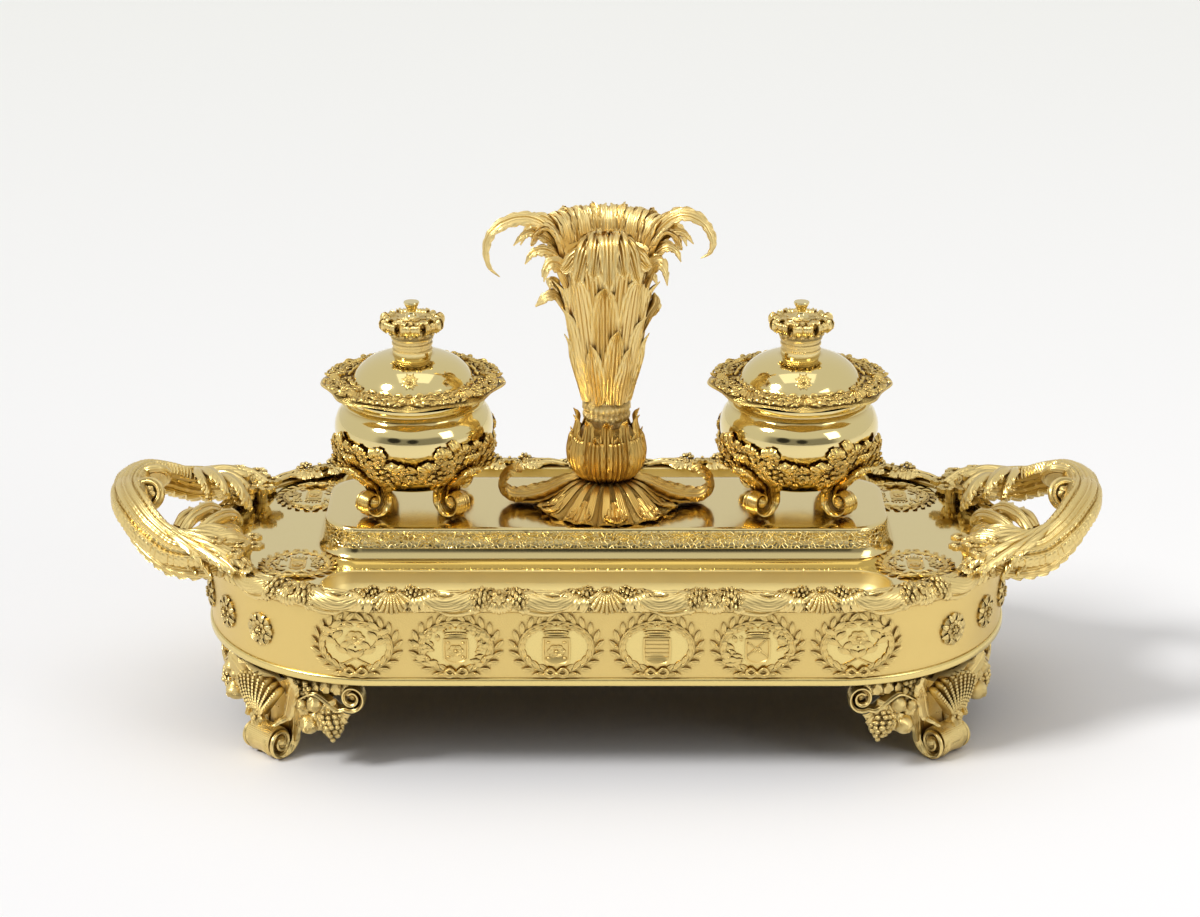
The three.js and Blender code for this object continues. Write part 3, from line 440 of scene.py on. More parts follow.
def leaf(spine, side, width, thick=1.1, teeth=0, cut=0.3, sweep=0.35, flutes=3, ridge=0.16,
         cup=0.0, outline=BLADE_SHARES, steps=16, across=9):
    """A fluted leaf. `width` is its half width, `teeth` the cuts in each edge."""
    path = smooth(spine, steps)
    tangent, side, normal = axes_along(path, side)
    u = np.linspace(0, 1, steps + 1)
    half = width * shares(outline, steps + 1)
    if teeth:
        half = half * (1 - cut * ((u * teeth) % 1.0) ** 1.5 * (u < 0.98))
    v = np.sin(np.linspace(-1, 1, across) * math.pi / 2)
    lift = ridge * np.abs(np.sin(math.pi * flutes * (v + 1) / 2)) + cup * v ** 2
    rim = np.sqrt(np.clip(1 - v ** 2, 0.06, 1)) * thick / 2
    h = half[:, None, None]
    middle = (path[:, None] + side[:, None] * v[None, :, None] * h
              + tangent[:, None] * (sweep * v ** 2)[None, :, None] * h
              + normal[:, None] * lift[None, :, None] * h)
    slim = np.minimum(1, 0.35 + half / width)[:, None, None]
    offset = normal[:, None] * rim[None, :, None] * slim
    ring = np.concatenate([middle + offset, (middle - offset)[:, ::-1]], axis=1)
    over = np.r_[v, v[::-1]]
    flow = np.stack(np.broadcast_arrays(run_along(path)[:, None], half[:, None] * over[None]), -1)
    return grid(ring, flow)


def ray_leaf(d, rows, half, root=(0, 0, 0), **look):
    """A leaf in the upright plane along d, through rows of [reach, height] from its root."""
    spine = [np.asarray(root) + d * reach + [0, 0, height] for reach, height in rows]
    return leaf(spine, np.cross([0, 0, 1], d), half, **look)


def acanthus(spine, side, width, pairs, spread, droop, first, last, outline, thick, rib=0.3):
    """A stem with pairs of fingers that lean forwards, and a finger at its tip."""
    path = smooth(spine, 40)
    tangent, across, normal = axes_along(path, side)
    lengths = width * shares(outline, pairs)
    made = [leaf(path[::5], side, width * rib, thick=thick * 1.2, ridge=0.3,
                 outline=[0.9, 1, 0.9, 0.7, 0.15], steps=20, across=7)]
    for i, reach in enumerate(lengths):
        k = int(40 * (first + (last - first) * i / (pairs - 1)))
        for hand in (-1, 1):
            out = unit(tangent[k] * math.cos(spread) + across[k] * hand * math.sin(spread))
            root = path[k] - tangent[k] * reach * 0.15
            finger = [root, root + out * reach * 0.45 + normal[k] * reach * 0.1,
                      root + out * reach * 0.85 + normal[k] * reach * 0.02
                      + tangent[k] * reach * 0.12,
                      root + out * reach + tangent[k] * reach * 0.3 - normal[k] * reach * droop]
            made.append(leaf(finger, np.cross(out, normal[k]) * -1, reach * 0.3, thick=thick,
                             flutes=2, ridge=0.22, outline=FINGER_SHARES, steps=8, across=7))
    return merged(made)


# %% [markdown]
# ## Small ornament
# Shells, flowers, fruit and wreaths are built flat, with X to the right, Y up and Z out of the
# surface. Each is a closed cast piece with its own back, as an applied casting is.

# %% Reliefs
def relief(radius_at, height_at, rings, sides, back, arc=TURN):
    """A disc or fan with a carved face. The functions take the angle and the share outwards."""
    full = arc == TURN
    angle = np.linspace(0, arc, sides, endpoint=not full) + (0 if full else math.pi / 2 - arc / 2)
    out = np.linspace(0.04, 1, rings)[:, None]
    r = radius_at(angle)[None] * out
    x, y = r * np.cos(angle), r * np.sin(angle)
    top = np.stack([x, y, height_at(angle[None], out) * np.ones_like(r)], -1)
    under = np.stack([x, y, -back * np.ones_like(r)], -1)
    flow = np.stack([r, angle * r], -1)
    if full:
        rows = np.concatenate([under[:1], top, under[-1:]])
        return grid(rows, np.concatenate([flow[:1], flow, flow[-1:]]))
    rows = np.concatenate([top.swapaxes(0, 1), under.swapaxes(0, 1)[:, ::-1]], axis=1)
    lines = flow.swapaxes(0, 1)
    return grid(rows, np.concatenate([lines, lines[:, ::-1]], axis=1))


def scallop(radius, ribs, arc=2.5, beads=0):
    """A shell that opens upwards from its hinge."""
    def phase(angle):
        return (angle - math.pi / 2 + arc / 2) / arc * ribs * math.pi

    def reach(angle):
        return radius * (0.93 + 0.07 * np.abs(np.sin(phase(angle))))

    def height(angle, out):
        bulge = np.sin(math.pi * np.clip(out, 0, 1) ** 0.7) * 0.75 + 0.25
        return radius * (0.2 * bulge + 0.1 * np.abs(np.sin(phase(angle))) * out)

    parts = [relief(reach, height, 9, ribs * 6 + 1, 0.06 * radius, arc)]
    for k in range(ribs if beads else 0):
        angle = math.pi / 2 - arc / 2 + arc * (k + 0.5) / ribs
        for out in 0.3 + 0.62 * np.arange(beads) / (beads - 1):
            z = float(height(angle, out))
            parts.append(ball(radius * 0.045, ray(angle) * radius * out + [0, 0, z], 6, 4))
    return merged(parts)


def flower(radius, petals=6, height=0.5, layers=2):
    """A rosette with layered petals round a boss."""
    parts = []
    for k in range(layers):
        size = radius * (1 - 0.38 * k)
        turn = math.pi / petals * k

        def reach(angle, size=size, turn=turn):
            return size * (0.8 + 0.2 * np.abs(np.cos(petals * (angle - turn) / 2)))

        def face(angle, out, size=size, turn=turn, k=k):
            petal = np.abs(np.cos(petals * (angle - turn) / 2))
            return size * height * (0.35 * k + out * 0.6 + 0.45 * petal * np.sin(math.pi * out))
        parts.append(relief(reach, face, 6, petals * 6, 0.15 * size))
    parts.append(ball(radius * 0.22, (0, 0, radius * height * 0.9), 10, 6, 0.8))
    return merged(parts)


def bunch(length, radius, seed, grape):
    """A bunch of grapes that hangs along -Y from the origin."""
    random = np.random.default_rng(seed)
    parts = []
    rows = max(3, int(length / (grape * 1.25)))
    for i in range(rows):
        share = i / (rows - 1)
        ring = radius * math.sin(math.pi * (0.22 + 0.72 * share)) * (1 - 0.25 * share)
        count = max(1, int(TURN * ring / (grape * 1.9)))
        turn = random.uniform(0, TURN)
        for k in range(count):
            a = turn + TURN * k / count
            jitter = random.uniform(-0.25, 0.25, 3) * grape
            at = np.array([ring * math.cos(a), -share * length, ring * math.sin(a)]) + jitter
            parts.append(ball(grape * random.uniform(0.85, 1.1), at, 8, 5))
    return merged(parts)


def vine_leaf(size, lobes=5):
    """A small broad leaf of pointed lobes, lying flat with its tip along +Y."""
    parts = []
    for k in np.arange(lobes) - (lobes - 1) / 2:
        reach = size * (1 - 0.16 * abs(k))
        rows = [[0.05, 0], [reach * 0.5, size * 0.16], [reach * 0.9, 0], [reach, -size * 0.1]]
        parts.append(ray_leaf(ray(math.pi / 2 - k * 0.62), rows, size * 0.27, thick=size * 0.13,
                              flutes=2, ridge=0.25, outline=FINGER_SHARES, steps=7, across=7))
    return merged(parts)


def coil(radius, turns, half_width, thick, start=math.pi, tighten=0.82, tail=(), steps=60,
         flutes=3, widths=(1.0, 1.0, 0.95, 0.8), eye=0.24):
    """A scroll in the XY plane, as wide as 2 x half_width along Z, that ends in an eye.
    `tail` is a list of [x, y] that leads into it."""
    angle = start + np.linspace(0, turns * TURN, steps)
    r = radius * (1 - tighten * np.linspace(0, 1, steps) ** 0.9)
    spiral = np.stack([r * np.cos(angle), r * np.sin(angle), np.zeros(steps)], -1)
    if len(tail):
        lead = smooth([[x, y, 0] for x, y in tail] + [spiral[0].tolist()], 14)[:-1]
        spiral = np.vstack([lead, spiral])
    band = leaf(spiral, (0, 0, 1), half_width, thick=thick, flutes=flutes, ridge=0.12, sweep=0.0,
                outline=widths, steps=len(spiral) - 1, across=11)
    return merged(band, ball(radius * eye, (0, 0, 0), 12))


# %% [markdown]
# A wreath is an oval stem with laurel leaves in pairs that climb from a bow at the foot to the
# crown. It frames a plain badge: a shield with a flower, bars or a saltire under a beaded ring,
# or two tied sprigs.

# %% Wreaths
def wreath(rx, ry, leaf_length, pairs=10):
    parts = []
    for hand in (-1, 1):
        for k in range(pairs):
            a = -math.pi / 2 + hand * (0.2 + (math.pi - 0.3) * k / pairs)
            at = np.array([rx * math.cos(a), ry * math.sin(a), 0.4])
            ahead = unit(np.array([-rx * math.sin(a), ry * math.cos(a), 0])) * hand
            out = np.array([ahead[1], -ahead[0], 0]) * hand
            for lean, along in ((-0.46, 0.0), (0.46, 0.42)):
                d = ahead * math.cos(lean) + out * math.sin(lean)
                root = at + ahead * along * leaf_length + out * 0.5 * np.sign(lean)
                rows = [[0, 0], [leaf_length / 2, 0.45], [leaf_length, 0]]
                parts.append(ray_leaf(d, rows, 1.0, root, thick=0.4, flutes=2, ridge=0.3, steps=9,
                                      outline=[0.3, 0.9, 1.0, 0.7, 0.05], across=7))
            if k % 2:
                parts.append(ball(0.5, at + out * 1.8 * (-1) ** (k // 2) + [0, 0, 0.5], 6, 4))
    parts.append(hoop(rx, ry, 0.6, 6, 0.3))
    for hand in (-1, 1):
        loop = [[0, -ry, 1.2], [hand * 2.6, -ry + 2.2, 1.6], [hand * 4.6, -ry + 0.4, 1.4],
                [hand * 2.6, -ry - 1.0, 1.3], [0, -ry, 1.2]]
        tail = [[0, -ry, 1.2], [hand * 2.6, -ry - 1.4, 1.2], [hand * 5.6, -ry - 0.6, 0.9],
                [hand * 8.0, -ry - 1.0, 0.7]]
        parts.append(bar(loop, [0.6, 0.7, 0.6], steps=18, sides=6))
        parts.append(bar(tail, [0.7, 0.8, 0.35], steps=10, sides=6))
    parts.append(ball(1.1, (0, -ry, 1.4), 8, 5))
    return merged(parts)


def field(rx, ry, sides=64):
    """The burnished oval inside a wreath, a little domed."""
    at = np.linspace(0.04, 1, 7)[:, None]
    angle = np.arange(sides) / sides * TURN
    dome = np.broadcast_to(0.9 - 0.35 * at ** 2, (7, sides))
    rows = np.stack([rx * at * np.cos(angle), ry * at * np.sin(angle), dome], -1)
    back = rows[[0, -1]] * [1, 1, 0] - [0, 0, 0.4]
    return grid(np.concatenate([back[:1], rows, back[1:]]))


def bud_leaf(root, d, length, half):
    """One small flat leaf of a badge."""
    rows = [[0, 0], [length / 2, 0.5], [length, 0]]
    return ray_leaf(d, rows, half, root, thick=0.5, flutes=2, outline=BUD_SHARES, steps=5, across=5)


def sprigs(size=13.0):
    """Two crossed sprigs under a small flower."""
    parts = [moved(flower(size * 0.24, 6, 0.35), (0, size * 0.3, 0.9))]
    for hand in (-1, 1):
        stem = [[hand * x, y, 0] for x, y in ((-0.35, -0.6), (0.15, -0.25), (0.5, 0.15), (0.55, 0.6))]
        stem = np.array(stem) * size + [0, 0, 1.0]
        parts.append(bar(stem, [0.3, 0.35, 0.2], steps=10, sides=5))
        for k, root in enumerate(smooth(stem, 8)[2:]):
            d = unit(np.array([hand * (-0.6, 1)[k % 2], 0.7, 0]))
            parts.append(bud_leaf(root, d, size * 0.34, size * 0.085))
    return merged(parts)


def mantling(size, seed):
    """Leaves and berries strewn at both sides of a shield."""
    random = np.random.default_rng(seed)
    parts = []
    for hand in (-1, 1):
        for _ in range(26):
            a = random.uniform(-1.35, 1.2)
            r = random.uniform(0.5, 0.95)
            x, y = hand * size * r * math.cos(a) * 0.98, size * r * math.sin(a) * 0.78
            if abs(x) > size * 0.34:
                d = unit(ray(a + 0.9) * [hand, 1, 1])
                length = size * random.uniform(0.14, 0.26)
                parts.append(bud_leaf((x, y, 0.9), d, length, length * 0.26))
                parts.append(ball(0.3, (x, y, 1.1), 6, 4))
    return parts


def shield(size, charge="flower", mantle_seed=None):
    """A plain shield with a flower, bars or a saltire on it, under a ring of beads."""
    half = [[0.3, 0.3], [0.31, 0.0], [0.3, -0.4], [0.22, -0.52], [0.0, -0.58]]
    outline = half + [[-x, y] for x, y in half[-2::-1]]
    rim = np.array([[x, y, 1.0] for x, y in outline]) * [size, size, 1]
    steps = ((0.1, 1), (0.84, 1.05), (0.88, 1.5), (1, 1.4), (1, -0.2))
    parts = [grid(np.array([rim * [share, share, z] for share, z in steps]))]
    if charge == "flower":
        parts.append(moved(flower(size * 0.2, 6, 0.35), (0, -size * 0.1, 1.1)))
        for x, y in ((-0.18, 0.16), (0.18, 0.16), (-0.18, -0.32), (0.18, -0.32)):
            parts.append(ball(size * 0.05, (x * size, y * size, 1.1), 8, 5))
    elif charge == "bars":
        for y in size * (0.22 - 0.125 * np.arange(6)):
            ends = [[-size * 0.25, y, 1.15], [size * 0.25, y, 1.15]]
            parts.append(bar(ends, [0.24, 0.24], steps=4, sides=5))
    else:
        for slant in (-1, 1):
            ends = [[-size * 0.24, slant * size * 0.22 - 0.6, 1.2],
                    [size * 0.24, -slant * size * 0.3, 1.2]]
            parts.append(bar(ends, [0.4, 0.4], steps=4, sides=5))
        parts.append(moved(flower(size * 0.1, 6, 0.35), (0, -size * 0.08, 1.3)))
    for rise, wide in ((0.38, 0.24), (0.46, 0.27)):
        parts.append(hoop(size * wide, size * 0.04, 0.32, 5, 1.3, size * rise, corners=12))
    for a in math.pi * (0.04 + 0.153 * np.arange(7)):
        parts.append(ball(0.42, (size * 0.29 * math.cos(a), size * (0.52 + 0.14 * math.sin(a)), 1.4),
                          7, 5))
    return merged(parts, [] if mantle_seed is None else mantling(size, mantle_seed))


# %% [markdown]
# ## The tray's outline
# The tray is an oblong with half-oval ends. `edge` gives the point and the outward direction at
# any distance along its rim, counted from the middle of the front towards the right, so that
# mouldings, medallions and the leaf border all run on the same line.

# %% The rim line
END_REACH = 78.6
STRAIGHT = HALF_LENGTH - END_REACH
BAND_INSET = 1.0
END_STEPS, RIM_STEPS, DECK_STEPS = 400, 480, 240


def rim_samples():
    sweep = np.linspace(-math.pi / 2, math.pi / 2, END_STEPS)
    right = np.stack([STRAIGHT + END_REACH * np.cos(sweep), HALF_DEPTH * np.sin(sweep)], -1)
    normal = unit(np.stack([np.cos(sweep) / END_REACH, np.sin(sweep) / HALF_DEPTH], -1))
    points = np.vstack([[[0, -HALF_DEPTH]], right, [[0, HALF_DEPTH]], (right * [-1, 1])[::-1],
                        [[0, -HALF_DEPTH]]])
    normals = np.vstack([[[0, -1]], normal, [[0, 1]], (normal * [-1, 1])[::-1], [[0, -1]]])
    return points, normals, run_along(points)


RIM_POINTS, RIM_NORMALS, RIM_RUN = rim_samples()
RIM_LENGTH = RIM_RUN[-1]
HALF_RIM = RIM_LENGTH / 2
print("rim length (mm):", round(RIM_LENGTH, 1))


def edge(distance, out=0.0):
    """Points [x, y] at distances along the rim, moved outwards."""
    d = np.mod(distance, RIM_LENGTH)
    at, n = (np.stack([np.interp(d, RIM_RUN, table[:, i]) for i in (0, 1)], -1)
             for table in (RIM_POINTS, RIM_NORMALS))
    return at + unit(n) * np.asarray(out)[..., None]


def nearest(spot):
    """The distance along the rim that lies nearest to a point, and the gap to it."""
    gaps = np.linalg.norm(RIM_POINTS - spot, axis=1)
    return float(RIM_RUN[np.argmin(gaps)]), float(gaps.min())


def swept(profile, ring=True):
    """A profile of [offset, height] swept round the rim, as a ring or as a plate."""
    distance = np.arange(RIM_STEPS) / RIM_STEPS * RIM_LENGTH
    rows = [np.column_stack([edge(distance, offset), np.full(RIM_STEPS, z)]) for offset, z in profile]
    return grid(np.array(rows), ring=ring)


def rounded_plan(half_x, half_y, corner, steps):
    """Points and outward directions round an oblong with round corners."""
    points, normals = [], []
    for quarter, (sx, sy) in enumerate([(1, 1), (-1, 1), (-1, -1), (1, -1)]):
        for a in (quarter + np.linspace(0, 1, steps)) * math.pi / 2:
            n = ray(a)[:2]
            points.append(np.array([sx * (half_x - corner), sy * (half_y - corner)]) + corner * n)
            normals.append(n)
    points, normals = np.array(points), np.array(normals)
    keep = np.linalg.norm(points - np.roll(points, 1, axis=0), axis=1) > 1e-3
    return points[keep], normals[keep]


def plan_sweep(plan, profile):
    """A profile of [offset, height] swept round a plan."""
    points, normals = plan
    return grid(np.array([np.column_stack([points + normals * offset, np.full(len(points), z)])
                          for offset, z in profile]))


# %% [markdown]
# ## Tray
# The strip under the band is a burnished moulding with a soft top edge. Its underside is
# painted dark brown as painted shade, so that the floor under the tray stays dark. The band is
# one matted sheet bent to the rim, with cast rosettes on its ends. Strip and band are sweeps of
# a small profile along the rim line.

# %% Base strip and band
strip_profile = [[-6, BASE_LOW], [-0.9, BASE_LOW], [-0.2, BASE_LOW + 0.3], [0, BASE_LOW + 0.9],
                 [0, BASE_TOP - 1.1], [-0.25, BASE_TOP - 0.45], [-0.8, BASE_TOP - 0.05],
                 [-1.4, BASE_TOP], [-6, BASE_TOP]]
strip = make("base_strip", swept(strip_profile, ring=False), SATIN, ["base_plate"]).data
strip.materials.append(UNDERSIDE_SHADE)
# Painted shade: the faces that look down take the dark underside colour.
for face in strip.polygons:
    if face.normal.z < -0.9:
        face.material_index = 1

band_profile = [[-3, BASE_TOP], [-BAND_INSET, BASE_TOP], [-BAND_INSET, BASE_TOP + 0.2],
                [-BAND_INSET, DECK_UNDER], [-3, DECK_UNDER]]
BAND_MIDDLE = (low("band_medallion_front_1")[2] + high("band_medallion_front_1")[2]) / 2
ROSETTE_RADIUS = 7.4
ROSETTE_DEGREES = (14, 32, 50)


def on_band(distance):
    """Carries flat ornament to the band, at a distance along the rim."""
    def place(points):
        at = edge(distance + points[:, 0], points[:, 2] - BAND_INSET)
        return np.column_stack([at, BAND_MIDDLE + points[:, 1]])
    return place


def band_rosette(petals=8):
    """Two rings of cupped petals with leaf tips between them and a beaded heart."""
    parts = [flower(ROSETTE_RADIUS, petals, 0.22),
             moved(flower(ROSETTE_RADIUS * 0.6, petals, 0.3, 1), (0, 0, 1.0))]
    for k in range(petals):
        d = ray((k + 0.5) * TURN / petals)
        parts.append(ray_leaf(d, [[3.0, 0.9], [5.2, 1.7], [7.2, 0.5]], 1.1, thick=0.6, flutes=2,
                              steps=6, across=7))
        parts.append(ball(0.55, d * 1.9 + [0, 0, 2.4], 6, 4))
    return merged(parts)


rosettes = []
for sweep in np.radians(ROSETTE_DEGREES):
    quarter, _ = nearest([STRAIGHT + (END_REACH - 1) * math.cos(sweep),
                          -(HALF_DEPTH - 1) * math.sin(sweep)])
    for distance in (quarter, HALF_RIM - quarter, HALF_RIM + quarter, -quarter):
        rosettes.append(carried(band_rosette(), on_band(distance)))
make("side_band_wall", swept(band_profile), MATTED, ["side_band"])
make("band_rosettes", merged(rosettes), CHASED, slot="matted_gilt")

# %% [markdown]
# The deck is a burnished sheet with two long slots. A triangle fill makes the sheet between the
# three outlines, and its edge walls close it. The troughs hang in the slots. They are brushed
# inside, and each has a raised bead round its mouth.

# %% Deck and troughs
def plate(outlines, z_low, z_high):
    """A flat plate inside the first outline and round the others, with walls."""
    sheet = bmesh.new()
    loops = []
    for line in outlines:
        verts = [sheet.verts.new((x, y, z_high)) for x, y in line]
        loops.append(verts)
        for i, v in enumerate(verts):
            sheet.edges.new((v, verts[(i + 1) % len(verts)]))
    bmesh.ops.triangle_fill(sheet, edges=sheet.edges[:], use_beauty=True)
    sheet.verts.index_update()
    top = np.array([v.co[:] for v in sheet.verts])
    count = len(top)
    faces = [[v.index for v in f.verts] for f in sheet.faces]
    faces += [[i + count for i in f[::-1]] for f in faces]
    for verts in loops:
        for i, v in enumerate(verts):
            j = verts[(i + 1) % len(verts)].index
            faces.append([v.index, j, j + count, v.index + count])
    sheet.free()
    return shape(np.vstack([top, top * [1, 1, 0] + [0, 0, z_low]]), faces)


TROUGH_FLANGE = 2.0
trough_low, trough_high = low("pen_trough_front"), high("pen_trough_front")
TROUGH_Y = (trough_high[1] + trough_low[1]) / 2
TROUGH_HALF_Y = (trough_high[1] - trough_low[1]) / 2 - TROUGH_FLANGE
PAN_SHARES = [[0.0, 0.0], [0.05, 0.3], [0.14, 0.52], [0.3, 0.76], [0.5, 0.9], [0.72, 0.97], [0.95, 1.0]]
PAN_DEPTH = DECK_TOP - trough_low[2] - 1.3
trough_plan = rounded_plan(trough_high[0] - TROUGH_FLANGE, TROUGH_HALF_Y, TROUGH_HALF_Y, 14)

deck_line = edge(np.arange(DECK_STEPS) / DECK_STEPS * RIM_LENGTH, -BAND_INSET)
slots = [trough_plan[0] + [0, TROUGH_Y], trough_plan[0] - [0, TROUGH_Y]]
make("deck", plate([deck_line, *slots], DECK_UNDER, DECK_TOP), BURNISHED, ["deck_plate"])

pan_top = [[-s * TROUGH_HALF_Y, DECK_TOP - d * PAN_DEPTH] for s, d in PAN_SHARES][::-1]
bead = [[0.15, 0.75], [0.8, 1.1], [1.5, 0.75], [1.8, 0.1], [1.8, -0.2], [-0.1, -0.2]]
bead = [[offset, DECK_TOP + z] for offset, z in bead]
pan_under = [[offset - 0.4, z - 0.9] for offset, z in pan_top[::-1]][1:]
pan = plan_sweep(trough_plan, pan_top + bead + pan_under)
for end, sign in (("front", 1), ("back", -1)):
    make(f"trough_{end}", moved(pan, (0, sign * TROUGH_Y, 0)), BRUSHED, [f"pen_trough_{end}"])

# %% [markdown]
# The platform is raised on a hollow cove, with a thin bead round its top and a fillet at its
# foot. Its profile is swept round an oblong with round corners.

# %% Platform
FLARE = 2.6
PLATFORM_CORNER = 17.5
PLATFORM_RISE = PLATFORM_TOP - DECK_TOP
COVE_SHARES = [[-1.2, 1.0], [-0.4, 1.0], [-0.24, 0.985], [-0.17, 0.94], [-0.13, 0.86], [-0.08, 0.74],
               [-0.01, 0.62], [0.1, 0.49], [0.24, 0.37], [0.42, 0.26], [0.62, 0.165], [0.82, 0.1],
               [0.94, 0.07], [1.0, 0.05], [1.0, 0.0]]
platform_half = high("platform")[:2] - FLARE
cove = [[out * FLARE, DECK_TOP + share * PLATFORM_RISE] for out, share in COVE_SHARES]
make("platform_shell", plan_sweep(rounded_plan(*platform_half, PLATFORM_CORNER, 20), cove), ENGRAVED,
     ["platform"])

# %% [markdown]
# The leaf border is one long casting: a small moulding over the deck's edge, and on it shells
# that hang over the rim, flowers with grapes between them, and long leaves that sweep from one
# to the next. The ornament is built flat and bent over the rim by `on_rim`, which follows a
# quarter round from the deck down to the band.

# %% Leaf border
RIM_ROUND = 3.4
RIM_START = -1.9
RIM_TOP = DECK_TOP + 2.0
INNER_FLAT, INNER_SLOPE = 3.0, 0.5


def on_rim(distance):
    """Carries flat ornament over the rim. X runs along it, +Y inwards, -Y over the edge."""
    def place(points):
        y, lift = points[:, 1], points[:, 2]
        bend = np.clip(-y / RIM_ROUND, 0, math.pi / 2)
        down = np.maximum(-y - RIM_ROUND * math.pi / 2, 0)
        inward = np.maximum(y, 0)
        out = RIM_START - inward + (RIM_ROUND + lift) * np.sin(bend)
        z = RIM_TOP - RIM_ROUND + (RIM_ROUND + lift) * np.cos(bend) - down
        z = z - np.clip(inward - INNER_FLAT, 0, 3) * INNER_SLOPE
        return np.column_stack([edge(distance + points[:, 0], out), z])
    return place


MOULDING = [[-4.4, 0.0], [-4.4, 0.5], [-3.6, 1.2], [-2.4, 1.8], [-0.8, 1.8], [0.3, 0.9], [0.9, -0.6],
            [0.9, -3.4], [0.4, -4.4], [-0.4, -4.6]]
MOTIFS = 20
MOTIF_PITCH = RIM_LENGTH / MOTIFS
LEAF_REACH = MOTIF_PITCH - 10


def sweeping_leaves(hand):
    """Leaves from a flower towards the next shell, to the right where hand is 1. A row holds
    the root in millimetres, three points whose first number is a share, and the half width."""
    rows = [([3.0, 0.6, 0.6], [0.3, -2.0, 1.5], [0.66, -4.6, 1.5], [1.0, -1.2, 1.2], 3.0),
            ([3.0, -2.6, 0.4], [0.28, -5.6, 1.0], [0.56, -7.4, 0.8], [0.82, -5.2, 1.4], 2.4),
            ([4.0, 2.6, 0.2], [0.3, 2.6, 0.9], [0.55, 1.2, 1.0], [0.78, 3.0, 0.8], 2.2),
            ([5.0, 3.4, 0.2], [0.2, 4.4, 0.9], [0.36, 4.2, 0.9], [0.46, 2.6, 0.6], 1.6)]
    parts = []
    for root, *along, width in rows:
        spine = np.array([root] + [[x * LEAF_REACH, y, z] for x, y, z in along]) * [hand, 1, 1]
        parts.append(leaf(spine, (0, -hand, 0), width, thick=1.0, teeth=6, cut=0.2, sweep=0.5,
                          flutes=4, ridge=0.2, steps=34, across=11))
    curl = coil(2.3, 1.1, 1.1, 0.8, start=math.pi / 2, steps=26)
    curl = flipped(curl, 0) if hand < 0 else curl
    return parts + [moved(curl, (hand * LEAF_REACH * 0.98, 0.8, 1.6))]


def border_shell(seed):
    """A shell over the edge between two upright leaves, with berries and small leaves."""
    parts = [moved(scallop(8.6, 9), (0, 0.6, 0.9), math.pi), moved(flower(2.4, 6, 0.4), (0, 1.4, 2.6))]
    random = np.random.default_rng(seed)
    for hand in (-1, 1):
        for x, y in ((5.5, 2.6), (7.4, 0.6), (3.4, 3.4), (8.6, 2.6), (6.6, 4.2)):
            parts.append(ball(1.0, (hand * x, y, 1.1), 8, 5))
        for x, lean, length in ((8.2, 0.25, 8.0), (10.4, 0.55, 8.6), (12.6, 0.9, 7.0)):
            rows = [[0, 0], [length / 2, 1.3], [length, 0.5]]
            parts.append(ray_leaf(ray(hand * lean - math.pi / 2), rows, 1.7, (hand * x, 0.6, 0.6),
                                  thick=0.9, flutes=2, ridge=0.3, outline=[0.5, 1, 0.95, 0.5], steps=10))
        tip = [[hand * 2, 3.6, 0.4], [hand * 6.0, 5.4, 1.0], [hand * 11, 4.0, 0.8]]
        parts.append(leaf(tip, (0, -hand, 0), 1.5, flutes=2, teeth=4, steps=14, across=7))
        parts.append(moved(bunch(6.0, 2.6, seed % 7 + 2, 0.85), (hand * 6.2, 1.6, 1.6), hand * 1.1))
        for x, y, turn, size in ((12.6, 3.2, 1.3, 4.6), (16.0, 0.6, 2.0, 4.0), (8.6, 4.4, 0.6, 3.8)):
            parts.append(moved(vine_leaf(size), (hand * x, y, 1.6), -hand * turn))
        for _ in range(12):
            radius = 0.8 * random.uniform(0.8, 1.2)
            at = (hand * random.uniform(6, 16), random.uniform(-1, 4.6), 1.3)
            parts.append(ball(radius, at, 7, 5))
        for k in range(4):
            parts.append(ball(0.85, (hand * (6.4 + 1.7 * k), -7.0 + 0.3 * k, 0.7), 7, 5))
    return parts


def border_flower(seed):
    """A flower with leaves over the edge, and grapes and long leaves at its sides."""
    random = np.random.default_rng(seed)
    parts = [moved(flower(3.6, 8, 0.4), (0, -0.8, 1.4))]
    for k in range(9):
        d = ray(math.pi * (k + 0.5) / 9 - math.pi)
        parts.append(ray_leaf(d, [[2.6, 0.8], [5.4, 1.5], [7.8, 0.6]], 1.25, (0, -0.8, 0), flutes=2,
                              steps=8, across=7))
    for hand in (-1, 1):
        for _ in range(13):
            x = hand * (4.0 + random.uniform(0, 6.5))
            y = random.uniform(-6.5, 2.6) + 0.3 * (abs(x) - 4)
            parts.append(ball(random.uniform(0.8, 1.15), (x, y, 1.4), 8, 5))
        parts.append(moved(bunch(7.0, 2.8, seed % 5 + 2, 0.9), (hand * 5.6, 0.0, 1.6), hand * 0.7))
        for x, y, turn in ((6.5, 3.0, 1.2), (9.5, -5.0, 2.2), (4.0, 4.0, 0.5), (12.0, -0.6, 1.7),
                           (9.6, 3.6, 0.9)):
            parts.append(moved(vine_leaf(4.2), (hand * x, y, 1.5), -hand * turn))
        for x, y in ((7.6, 2.4), (3.6, 2.8), (10.8, -2.6)):
            parts.append(moved(flower(1.7), (hand * x, y, 2.0)))
    return parts + sweeping_leaves(1) + sweeping_leaves(-1)


border = [swept([[offset, DECK_TOP + z] for offset, z in MOULDING])]
for k in range(MOTIFS):
    motif = border_flower(k) if k % 2 else border_shell(k)
    border.append(carried(merged(motif), on_rim(k * MOTIF_PITCH)))
make("leaf_border_casting", merged(border), CHASED, ["leaf_border"])

# %% [markdown]
# The wreath medallions are applied castings. Those on the band are bent to its curve, and those
# on the deck lie flat. The badges inside are generic ones, and each wreath frames a smooth field.

